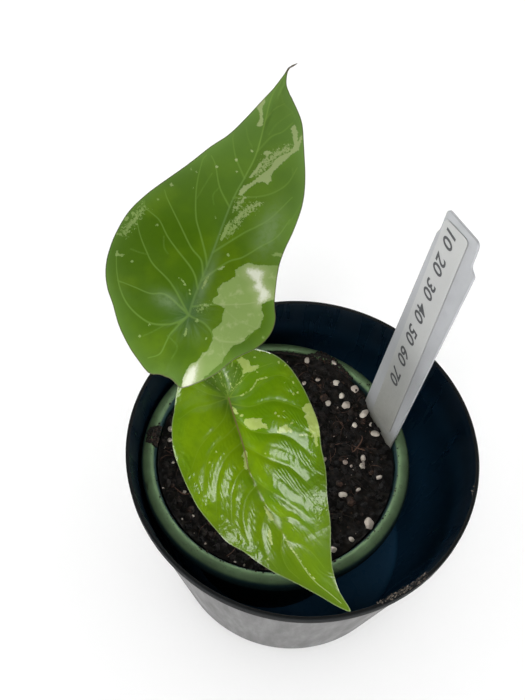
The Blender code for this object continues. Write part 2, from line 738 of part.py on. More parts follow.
def soil(finish):
    """The filled pot's soil: a rough top with grains fused in, and plain holes."""
    steps = round(2 * math.pi * SOIL_RADIUS / SOIL_SPACING)
    angles = np.arange(steps) * 2 * math.pi / steps
    circle = np.column_stack([np.cos(angles), np.sin(angles)])
    centre = np.array(NURSERY_CENTRE)
    flat, faces = triangulated(centre + SOIL_RADIUS * circle, [], SOIL_SPACING)
    points = [(x, y, soil_top(x, y)) for x, y in flat]
    solid = [tuple(int(i) for i in face) for face in faces]
    ring = border_edges(faces)
    floor = NURSERY_FOOT + NURSERY_FLOOR + CLEARANCE
    low_radius = NURSERY_BASE_RADIUS - NURSERY_WALL - 4 * CLEARANCE
    lower = {}
    for start, _ in ring:
        outward = (flat[start] - centre) / SOIL_RADIUS
        lower[start] = len(points)
        points.append((*(centre + outward * low_radius), floor))
    middle = len(points)
    points.append((*centre, floor))
    for a, b in ring:
        solid += [(b, a, lower[a]), (b, lower[a], lower[b]), (lower[b], lower[a], middle)]
    obj = mesh_object("soil", points, solid, finish)
    draw = random.Random(GRAIN_SEED + 1)
    apply_boolean(obj, [grain(place, draw) for place in grain_places()], "UNION")
    cutters = []
    for leaf in (UPPER, LOWER):
        x, y, low = leaf["stalk"][0]
        radius = leaf["stalk_radii"][0] + CLEARANCE
        high = SOIL_LEVEL + HOLE_RISE
        cutters.append(cylinder("stalk_hole", radius, low, high, (x, y), HOLE_SIDES))
    half = LABEL_THICKNESS / 2 + CLEARANCE
    cutters.append(plate("label_slot", label_slot_outline(), -half, half))
    apply_boolean(obj, cutters, "DIFFERENCE")
    return obj


def main():
    clear_scene()
    cover_pot(material("cover_pot_plastic", (0.03, 0.04, 0.05), 0.4))
    nursery_pot(material("nursery_pot_plastic", (0.07, 0.13, 0.07), 0.45))
    soil(material("soil_crumb", (0.02, 0.013, 0.01), 0.95))
    leaf_object("leaf_upper", UPPER, material("older_leaf", (0.07, 0.17, 0.02), 0.35))
    leaf_object("leaf_lower", LOWER, material("newer_leaf", (0.19, 0.33, 0.02), 0.2))
    plant_label(material("label_plastic", (0.55, 0.57, 0.6), 0.4))
    label_strip(material("strip_film", (0.52, 0.53, 0.47), 0.5))


main()
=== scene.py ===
"""The looks of a young variegated alocasia in a nursery pot, set in a cover pot.

The file is laid out as an add-on and run as a script. Lengths are millimetres
unless a name says otherwise, and MM turns them into metres in each mesh.
"""

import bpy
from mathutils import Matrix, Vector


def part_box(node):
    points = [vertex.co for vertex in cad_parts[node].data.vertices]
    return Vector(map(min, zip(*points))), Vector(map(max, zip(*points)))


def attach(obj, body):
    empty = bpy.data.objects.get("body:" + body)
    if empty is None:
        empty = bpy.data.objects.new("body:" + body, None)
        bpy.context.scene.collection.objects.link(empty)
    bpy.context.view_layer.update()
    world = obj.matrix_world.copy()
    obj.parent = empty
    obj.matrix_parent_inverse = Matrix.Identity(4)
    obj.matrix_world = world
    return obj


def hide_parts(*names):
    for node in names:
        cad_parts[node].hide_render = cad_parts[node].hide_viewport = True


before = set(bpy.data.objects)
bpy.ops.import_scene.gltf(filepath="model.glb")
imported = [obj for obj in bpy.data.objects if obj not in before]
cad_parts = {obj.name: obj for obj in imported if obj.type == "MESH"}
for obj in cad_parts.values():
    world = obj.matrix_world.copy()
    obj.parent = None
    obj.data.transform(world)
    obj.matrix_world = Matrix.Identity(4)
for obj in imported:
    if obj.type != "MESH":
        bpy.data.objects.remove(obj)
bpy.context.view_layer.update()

import math

import bmesh
import bpy
import numpy as np
from bpy.props import FloatProperty, FloatVectorProperty, IntProperty, PointerProperty
from mathutils import Matrix, Vector, noise
from mathutils.geometry import delaunay_2d_cdt

bl_info = {
    "name": "Potted Alocasia Looks",
    "version": (1, 0, 0),
    "blender": (4, 5, 0),
    "location": "3D View > Sidebar > Alocasia",
    "description": "Builds the finished surfaces of a variegated alocasia in its two pots",
    "category": "Object",
}

MM = 0.001
BODY = "root"


def span(name):
    """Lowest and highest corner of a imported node, in millimetres."""
    low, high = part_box(name)
    return np.array(low) / MM, np.array(high) / MM


COVER_LOW, COVER_HIGH = span("cover_pot")
NURSERY_LOW, NURSERY_HIGH = span("nursery_pot")
SOIL_LOW, SOIL_HIGH = span("soil")

# Cover pot
COVER_RADIUS = (COVER_HIGH[0] - COVER_LOW[0]) / 2
COVER_HEIGHT = COVER_HIGH[2]
COVER_BASE_RADIUS = 51.4
COVER_FLOOR = 1.6
COVER_WALL = 1.3
COVER_BAND = 4.2
COVER_BAND_STEP = 0.8
COVER_BAND_INSIDE_STEP = 0.9
COVER_LIP_WIDTH = 1.2
COVER_LIP_DEPTH = 0.6
BAND_TOLERANCE = 0.05
# How round each corner of its section is, from the middle of the floor over the rim
# to the middle of the underside
COVER_ROUNDINGS = (0, 2.0, 1.5, 0.5, 0.5, 0.35, 0.2, 1.2, 0)
# Heights on the inner wall where its colour is darkest, as painted shade near the rim, and
# lightest, as painted fill light deep in the pot
COVER_PAINTED_LIGHT_HEIGHTS = (COVER_HEIGHT - 8, COVER_HEIGHT - 62)

# Nursery pot
NURSERY_CENTRE = (NURSERY_LOW[:2] + NURSERY_HIGH[:2]) / 2
NURSERY_RIM_RADIUS = (NURSERY_HIGH[0] - NURSERY_LOW[0]) / 2
NURSERY_FOOT = NURSERY_LOW[2]
NURSERY_TOP = NURSERY_HIGH[2]
NURSERY_RIM_WIDTH = 5.3
NURSERY_BASE_RADIUS = 35.8
NURSERY_SKIRT = 6.2
NURSERY_WALL = 1.0
NURSERY_FLOOR = 1.2
# The rolled rim. The crest is in from the mouth and down from the top, the shoulder
# is in from the outer edge, and the others are drops from the top.
ROLL_CREST = (1.2, 0.15)
ROLL_SHOULDER = 2.2
ROLL_MOUTH_DROP = 1.9
ROLL_EDGE_DROP = 1.7
ROLL_UNDERSIDE_DROP = 2.1
ROLL_NECK_DROP = 3.2
# How round each corner of its section is, in the same order as for the cover pot
NURSERY_ROUNDINGS = (0, 1.4, 0.9, 0.9, 1.4, 1.2, 0.3, 0.3, 0.4, 0.3, 0.4, 1.2, 0)
# Painted shade on the green rim: it starts to darken at the first drop from its top, and is dark
# below the second
NURSERY_PAINTED_SHADE = (0.6, 1.6)
DRAIN_RADIUS = 4.0
DRAIN_RING = 22.0
DRAIN_COUNT = 6
DRAIN_SIDES = 32
TURNED_STEPS = 224

# Soil
SOIL_CENTRE = (SOIL_LOW[:2] + SOIL_HIGH[:2]) / 2
SOIL_RADIUS = (SOIL_HIGH[0] - SOIL_LOW[0]) / 2
SOIL_LEVEL = 78.5
SOIL_CLEARANCE = 1.2
STALK_CLEARANCE = 3.0
# Each mound is x, y, its rise and its width
SOIL_MOUNDS = (
    (20.0, 31.0, 1.6, 8.0),
    (6.0, 42.0, 3.0, 11.0),
    (-13.0, 42.0, 2.6, 11.0),
    (-21.0, 12.0, 1.2, 9.0),
)
# Each roughness is its wave length and its height
SOIL_ROUGHNESS = ((6.0, 0.9), (2.4, 0.7))
SOIL_GRIT = ((1.3, 0.5), (0.7, 0.3))
# Each grain of perlite that shows is x, y and its half width
SHOWN_GRAINS = (
    (-3.5, 42.9, 1.3), (-3.2, 32.8, 1.2), (9.6, 34.7, 1.6), (17.2, 33.4, 1.4),
    (12.5, 29.9, 1.4), (5.2, 27.9, 0.9), (14.7, 26.0, 1.6), (22.2, 23.4, 2.0),
    (18.9, 17.0, 1.6), (27.2, 15.6, 1.5), (17.2, 1.4, 1.1), (23.9, 4.5, 1.2),
    (23.8, 1.2, 1.4), (30.4, -2.7, 1.4), (23.3, -9.0, 0.9), (17.7, -12.0, 1.4),
    (28.5, -21.8, 2.2), (22.9, -28.8, 0.9), (16.8, -33.9, 1.1), (-51.6, 3.1, 1.2),
    (-50.8, -1.6, 1.1), (-40.6, -21.5, 0.9),
)
# Smaller grains of perlite, as above
SMALL_GRAINS = (
    (7.6, 43.7, 1.0), (25.4, 19.8, 0.8), (19.6, 0.2, 0.7), (21.5, -7.0, 0.65),
    (17.8, -21.5, 0.7), (-52.3, -4.3, 0.7), (-47.7, -10.4, 0.7), (-48.6, -21.6, 0.45),
    (-35.5, -30.1, 0.55), (-17.1, -44.5, 0.42), (-13.8, -44.7, 0.42), (24.0, 2.4, 0.9),
)
# Dirt on the green rim: at each angle, how far out from the pot's middle it lies
RIM_HEAP = (
    (57, 45.8), (63, 47.6), (67, 48.6), (71, 50.2), (78, 50.4), (80, 48.4), (83, 47.0),
    (88, 46.1), (103, 45.2),
)
RIM_BRIDGE = ((176.5, 46.0), (178, 50.0), (185, 50.2), (187, 46.0))
RIM_HEAP_WIDTH = 5.0
# More grains are scattered left of this x, where the leaves hide them from above
HIDDEN_GRAINS = 26
HIDDEN_GRAINS_LIMIT = 10
SPECKS = 90
# Fibres that show, by their x and y
SHOWN_FIBRES = (
    ((18.9, 9.4), (19.6, 6.4), (21.4, 9.0), (22.6, 12.4), (22.0, 15.0)),
    ((18.9, 9.4), (22.5, 7.6), (27.0, 7.6)),
    ((-44.5, -20.5), (-41.0, -22.6), (-37.0, -22.0), (-34.0, -24.5)),
)
FIBRE_STEP = 0.8
FIBRE_SIDES = 5
FIBRE_LIFT = 0.35
STEM_FEET = ((-23.5, 14.5), (-18.5, 10.0))
SEEDS = {"crumbs": 5, "grains": 11, "fibres": 23, "spill": 31}

# Plant label: foot is where its middle line meets the soil
LABEL_FOOT = (27.9, 19.8, SOIL_LEVEL)
LABEL_UP = (0.113, 0.165, 0.980)
LABEL_ACROSS = (0.563, -0.823, 0.073)
LABEL_WIDTH = 21.4
LABEL_THICKNESS = 1.0
LABEL_SHOULDER = 90.5
LABEL_HEAD = 10.6
LABEL_NOTCH = (2.9, 1.8)
LABEL_HEAD_INSETS = (0.6, 3.7)
LABEL_TAPER_START = -8.0
LABEL_POINT = -24.0
LABEL_ROUNDING = 1.6
LABEL_EDGE = 0.16
STRIP_WIDTH = 12.4
STRIP_BOTTOM = 4.6
STRIP_TOP = 98.8
STRIP_FOOT = 1.4
STRIP_LEAN = 2.6
STRIP_ROUNDING = 2.0
STRIP_FACE = 0.9
STRIP_BACK = 0.55
STRIP_EDGE = 0.06
NUMERALS = ("10", "20", "30", "40", "50", "60", "70")
NUMERAL_SIZE = 7.2
NUMERAL_FIRST = 93.4
NUMERAL_PITCH = 10.7
NUMERAL_BASE = -4.0
NUMERAL_SLANT = 0.2
NUMERAL_BOLDNESS = 0.12
INK_THICKNESS = 0.02
INK_HEIGHT = 0.012

# Blades
BLADE_THICKNESS = 0.55
BLADE_SPACING = 0.52
# The margin is this share of the full thickness, which is reached over this distance
MARGIN_THICKNESS = 0.45
MARGIN_REACH = 2.0
RIB_WIDTH = 1.1
RIB_AT_TIP = 0.1
RIB_TAPER = 0.5
SIDE_RIB = 0.35
VEIN_TAPER = 0.55
GROOVE_WIDTH = 0.45
FOLD_SOFTNESS = 1.0
TWIST_MIDDLE = 40
TWIST_REACH = 14
STEEP_WIDTH = 4
STEEP_FADE = 12
BULGE_WIDTH = 8
HOLLOW_STRENGTH = 1.6
QUILT_MARGIN = 3.0
# Creases between veins start at the first distance from a vein or the midrib, and are
# full after the second distance more
SPLIT_FROM_VEIN = (1.2, 1.2)
SPLIT_FROM_RIB = (3, 4)
WRINKLE_LENGTHS = (2.6, 1.3)
# Where in the noise each size of wrinkle is read
WRINKLE_LAYERS = (0.3, 5.0)
WRINKLE_FROM_VEIN = 1.5
MARGIN_LIVELINESS = 2.5
MARGIN_LIVELY_REACH = 4
WAVE_REACH = 5.0
WAVE_PHASES = (0.8, 2.6)
# Fine ripples run aslant to the midrib and bend round the veins
RIPPLE_SLANT = 1.1
RIPPLE_BEND = 0.10
RIPPLE_LENGTH = 1.4
# How far along the midrib, as a share of it, its three depths hold
RIB_DEPTH_RUNS = (0.30, 0.42, 0.75)
JOINT_SWELL = 1.6
JOINT_REACH = 3.0
# What the finishes read at each point of a blade
STORED_FIELDS = (
    "edge", "rib_run", "rib_line", "line", "fine", "ripple", "clear", "pale", "white",
    "speckled", "dark", "shade", "reach", "dull_green_and_sheen", "painted_sheen_spot",
)
STALK_SIDES = 28
STALK_COLLAR = 0.25
STALK_COLLAR_REACH = 0.05
STALK_STEP = 1.2
STALK_SINK = 0.6
FAR = 99.0

# Stage, in metres and degrees
FLOOR_HALF = 4.0
KEY_PLACE = (-0.215, -0.815, 1.932)
KEY_AIM = (0.0, 0.0, 0.10)
KEY_SIDES = (0.50, 0.66)
# The surroundings fade to this share between two slopes of view, given as sines
SKY_FADE = (0.20, 0.50)
SKY_TOP = 0.004
CAMERA_PLACE = (0.0, -0.1424, 0.3643)
CAMERA_TURN = (33.63, -1.841, 9.566)
CAMERA_SENSOR = 36.0
CAMERA_NEAREST = 0.01

# The older leaf. Its outline, veins and markings are (along, across) from where
# the stalk meets the blade: along runs to the tip, across to the leaf's left.
# Where a setting has a value for each side, the right side comes first.
OLDER = {
    "node": "leaf_upper",
    "slot": "older_leaf",
    # Where the stalk meets the blade, and how the blade is turned there, in degrees
    "attach": (-42.3, 8.2, 150.0),
    "yaw": 79.1,
    "pitch": 17.6,
    "roll": 15.1,
    # The arch from joint to tip, and how fast the lobes behind the joint droop
    "length": 95.7,
    "arch": 3.0,
    "base_droop": 0.012,
    # Each side's slope away from the midrib, its bend down, and its turn along the leaf
    "fold": (0.10, 0.10),
    "curl": (0.0035, 0.0035),
    "twist": (0.0, 0.0),
    # A broad swelling: its middle and reach along the leaf, and each side's rise
    "bulge": (35, 15, (0.0, 0.0)),
    # A steeper rise beside the midrib, and how far along each side has it
    "steep": 0.5,
    "steep_ends": (28, 28),
    # Depth and width of the broad and the narrow hollows over the veins, the depth of
    # the groove in them, and the depth and width of the creases between them
    "dome": (0.10, 2.8),
    "valley": (0.06, 1.3),
    "groove": 0.04,
    "split": (0.0, 1.0),
    # How deep the midrib's hollow is at three places along it
    "rib_depths": (1.0, 0.8, 0.5),
    # Height of the fine wrinkles, and height and length of the margin's waves
    "wrinkle": 0.03,
    "wave": 0.5,
    "wave_length": 27.0,
    # From the first distance along to the second, quilting and waves fade like this
    "tip_calm": ((70, 90), (1, 0.5)),
    # Height of the rib on the underside
    "rib": 1.5,
    # For the finish: width and strength of the veins, strength of the thin line round
    # the blade, how matt the midrib is, and how many streaks run out from the joint
    "vein_width": 0.62,
    "vein_share": 0.50,
    "margin_share": 0.8,
    "rib_matt": 0.20,
    "streaks": 5.0,
    # Each spot of painted sheen is along, across, its two half widths and its strength
    "painted_sheen_spots": ((36, -14, 9, 4, 0.42), (1.5, 8, 2.5, 4.5, 0.5), (12, -1, 8, 1.6, 0.4)),
    "outline": (
        (99.8, -1.85), (98.5, -0.6), (96.9, 0.55), (95, 0.8), (92.9, 1.1), (89.5, 1.8),
        (85.4, 2.7), (81, 4.1), (70.5, 7.5), (62, 10.5),
        (55, 14.5), (47.5, 18.5), (39.5, 23), (31, 27.5), (23.5, 30.5), (15.5, 31.5),
        (8, 31), (2.5, 29.5), (-2, 27), (-6, 23.5), (-11, 19.5), (-15.5, 14.5),
        (-18.5, 10), (-21, 5), (-20.2, 1.5), (-20, -2), (-21, -4.5), (-21.5, -6.5),
        (-19, -10), (-14, -15), (-7.5, -19), (-2, -24), (3.5, -26.5), (9, -26.5),
        (14.5, -24), (24, -21.5), (31, -21), (40, -21.5), (49.5, -21), (59.5, -18.5),
        (70.5, -14), (78, -10.5), (84.5, -5.3), (86.6, -3.4), (88.8, -1.7), (90.7, -0.8),
        (93.4, -0.1), (95, 0.1), (96.6, -0.05), (98.1, -1.0),
    ),
    "midrib": (
        (0, 0), (6, 0.5), (20.5, 0.5), (40, 1), (51, 0), (60.5, -0.5), (73.5, 1),
        (83.5, 2), (94, 0.5),
    ),
    "veins": (
        ((50, 0), (53.5, 3.5), (56.5, 6), (61, 8.5), (63, 9)),
        ((38.5, 1), (43.5, 6.5), (50, 10.5), (52.5, 13)),
        ((17, 0.5), (20.5, 2.5), (26, 6.5), (31, 10), (40.5, 13.5), (49.5, 15), (52, 14.5)),
        ((13.5, 0.5), (18, 3), (20.5, 7.5), (26, 13.5), (32.5, 20.5), (35, 22.5)),
        ((9, 0.5), (13.5, 4), (18, 11.5), (21, 16), (25, 20.5), (27, 26), (29, 27)),
        ((0, 0), (7, 9), (10.5, 16.5), (14, 20.5), (18.5, 24.5), (24, 28)),
        ((0, 0), (3, 9), (1.5, 14), (1.5, 19.5), (1.5, 25)),
        ((0, 0), (-3.5, 2.5), (-6, 6.5), (-7, 11.5), (-5, 18), (-1.5, 22.5), (3.5, 26),
         (9, 28.5)),
        ((0, 0), (-7, 3), (-10.5, 3.5), (-14.5, 4), (-17, 7)),
        ((0, 0), (-1, -6), (-3.5, -9.5), (-6.5, -10), (-11, -9), (-15, -7)),
        ((-3.5, -9.5), (-4, -13), (-1.5, -19), (2.5, -21)),
        ((3, 0), (5.5, -5), (7.5, -10), (10, -15.5), (13, -20)),
        ((12, 0.5), (20.5, -5), (24, -9), (29.5, -13), (35, -17), (42.5, -19)),
        ((22, 0.5), (32, -6.5), (35.5, -9.5), (40.5, -13), (50, -17)),
        ((42, 1), (46, -7), (50, -11.5), (54.5, -14), (61, -15)),
        ((61, -0.5), (68, -3), (71.5, -6), (76, -8)),
        ((73.5, 1), (78.5, -0.5), (82, -3)),
    ),
    "fine_veins": (
        ((87.5, 0.5), (83.5, -1.5), (81.5, -3), (80, -6.5), (77.5, -8.5)),
        ((68.5, -2), (73, -3), (77, -5), (79.5, -6.5)),
        ((61.5, 1.5), (64, 4), (67.5, 6)),
        ((37, 6), (40, 7.5), (43.5, 6.5)),
        ((36, 12), (40, 11.5), (47, 10.5)),
        ((40.5, -19), (45, -20), (49, -20.5)),
        ((54, -14), (57.5, -14.5), (60, -13.5)),
        ((13, 19), (12.5, 22), (12.5, 25)),
        ((-8.5, 4), (-10, 0), (-12, -0.5), (-14.5, 0)),
        ((-6, 6), (-9, 8.5), (-11.5, 11)),
        ((20.5, 17), (17, 15.5), (15.5, 13.5)),
        ((5.5, -10.5), (4, -15), (4, -18.5), (4, -21.5)),
        ((-3, -12.5), (-6, -14), (-8.5, -16)),
        ((-4, -10), (-4, -12.5), (-3, -16), (-1, -18.5), (3, -21.5), (7, -22)),
        ((31, -6), (36, -10), (40, -14)),
    ),
    # The stalk's route by x, y and height, and its radius at both ends
    "stalk": (
        (-23.5, 14.5, SOIL_LEVEL - 12), (-23.5, 14.5, 80), (-25.5, 16.8, 98),
        (-30.5, 18.2, 120), (-37.5, 14.5, 140), (-42.3, 8.2, 149.3),
    ),
    "stalk_radii": (2.6, 1.6),
    "pale_areas": (
        (
            (22.8, -11.2), (23.4, -12.6), (23, -13.4), (24.4, -16.8), (26.6, -22.5),
            (17.6, -24), (15.2, -24), (13, -21.2), (12, -20.4), (10.4, -21), (8.6, -22.4),
            (4.8, -22.6), (3, -21.4), (0.2, -19.6), (-1.6, -19.4), (-4.2, -16.6),
            (-7.8, -15.6), (-10.4, -15.4), (-12.4, -14), (-18, -11.2), (-20.5, -9.6),
            (-22.4, -6.6), (-18.6, -5.8), (-16, -5.8), (-13.8, -6.4), (-12.4, -8),
            (-9.4, -8.6), (-8.8, -9.8), (-5.4, -10), (-3.6, -9.8), (-2, -8.6),
            (-0.6, -9.6), (1.4, -10.6), (3.4, -10), (6, -9.8), (6.4, -7.6), (6.4, -5.2),
            (7.8, -5.2), (9.4, -6.4), (10.8, -5.2), (13.4, -6), (14.4, -7.2),
            (17.2, -9.2), (19, -8.2), (21.8, -10.2),
        ),
        (
            (43.4, -0.2), (45.6, 0), (47.2, -0.6), (49.4, -2.6), (52.8, -4.2),
            (56.6, -6.4), (60.2, -7), (62.6, -8.2), (65.8, -11), (68.2, -11.2),
            (71.4, -9.6), (73.6, -8), (75.8, -8.6), (73.6, -10.6), (69.8, -12),
            (74, -12.4), (71.4, -13), (67.4, -13.2), (64.4, -11.4), (60.4, -9.8),
            (56.2, -8), (54.2, -7.8), (53, -8.6), (51, -7.8), (51.2, -6.4),
            (50.2, -4.2), (46.4, -2.2), (44, -1.4),
        ),
        (
            (76.4, 5.4), (79.2, 5.2), (81.4, 4.4), (79.4, 3.2), (77.2, 3.6), (73, 1.6),
            (70.8, 1.2), (69.8, 2.2), (69.8, 3), (72.4, 2.8), (74.8, 3.6),
        ),
        ((50.8, -1.2), (57, -2.6), (60.4, -3.6), (56.8, -3.6), (53.4, -3), (50.8, -1.9)),
        ((61.6, -2.4), (62.8, -3.6), (62.6, -5.2), (61, -4.4), (60.8, -3)),
        ((28.6, -17.6), (30.2, -18.8), (30.4, -21), (29.2, -20.6), (28.4, -17.8)),
        ((16.6, -2.8), (18, -3.4), (19.8, -5.2), (18.8, -5), (17.4, -4)),
        ((9.6, 7.6), (9.8, 6.2), (8.4, 4.4), (8.2, 5), (9.2, 6.2)),
        ((7.6, 3), (7.6, 2.4), (6.2, 1.8), (6.2, 2.4)),
        ((-4, -0.6), (-5, -1.6), (-6.6, -1.6), (-7, -1), (-5.4, -0.6)),
        ((9.6, -0.5), (12.8, -0.5), (15.2, -1.3), (12.2, -1.3), (9.6, -0.9)),
        ((10.8, 29), (9.8, 28), (9, 27), (8.4, 28.6), (9.4, 29)),
        ((25, -0.3), (28.4, -0.1), (33, -0.1), (34.2, -0.8), (31.8, -1.3), (28, -1.2)),
    ),
    # Each dot is along, across and its radius
    "pale_dots": (
        (-7.6, 10.4, 0.4), (-11.8, 11.8, 0.45), (-5, -8, 0.4), (2.2, -24.8, 0.5),
        (9.8, 26.6, 0.5), (8.8, 23.2, 0.45), (23, -4.4, 0.5), (-0.8, -3, 0.6),
        (37.6, 21.2, 0.6), (23.8, 28.8, 0.6), (25.2, 26.8, 0.5), (21.4, 30.2, 0.8),
        (21.6, 27.4, 0.4), (23, 20.4, 0.5), (60.2, 1.2, 0.5), (54.8, 4.8, 0.5),
        (51, 3.2, 0.4), (49.6, 10, 0.5), (45.2, 15.2, 0.3), (39.4, 14.4, 0.3),
        (33.2, 4, 0.4), (45.4, 17.2, 0.35), (18.4, 28.8, 0.35), (31.2, 23.2, 0.35),
        (15.8, 31, 0.4),
    ),
    "pale_lines": (),
    "white_areas": (
        (
            (21, -11.6), (22, -13.4), (22.4, -15.6), (22.2, -17.4), (19.4, -17.6),
            (17.6, -19.2), (16.8, -21.4), (15.4, -22.2), (12.8, -20.8), (11.6, -19.2),
            (15, -18), (15.6, -15.8), (17.6, -15.8), (18.6, -13.8), (19.4, -12),
        ),
        (
            (-18.6, -5.8), (-15, -6.4), (-12.8, -8.4), (-15.6, -9.4), (-18.2, -10),
            (-20.4, -9.2), (-22.4, -6.6),
        ),
    ),
    # Patches that are broken up into specks
    "speckled_areas": (
        ((2.6, -1.8), (4.4, -2.2), (5.8, -4.4), (4.8, -4.8), (3, -4.2), (2.2, -2.6)),
        (
            (52.4, -2), (59, -3.4), (63.2, -5.4), (68, -9.6), (66.2, -11.8), (62, -8.2),
            (58.4, -6.6), (52.8, -4.2),
        ),
        ((37.4, -0.2), (42, -0.2), (44.2, -2.6), (41.2, -3), (38, -1.4)),
        (
            (28, -0.4), (35, -1.4), (39, -2.4), (41.8, -4.6), (44.4, -6.8), (44, -8.8),
            (42.4, -8), (39.2, -6.4), (36.2, -4.8), (32.8, -4), (29, -3),
        ),
        ((15.6, 30.6), (20, 29.6), (28, 27.6), (27, 25.4), (21, 26.6), (15.6, 28)),
    ),
    "dark_areas": (),
}

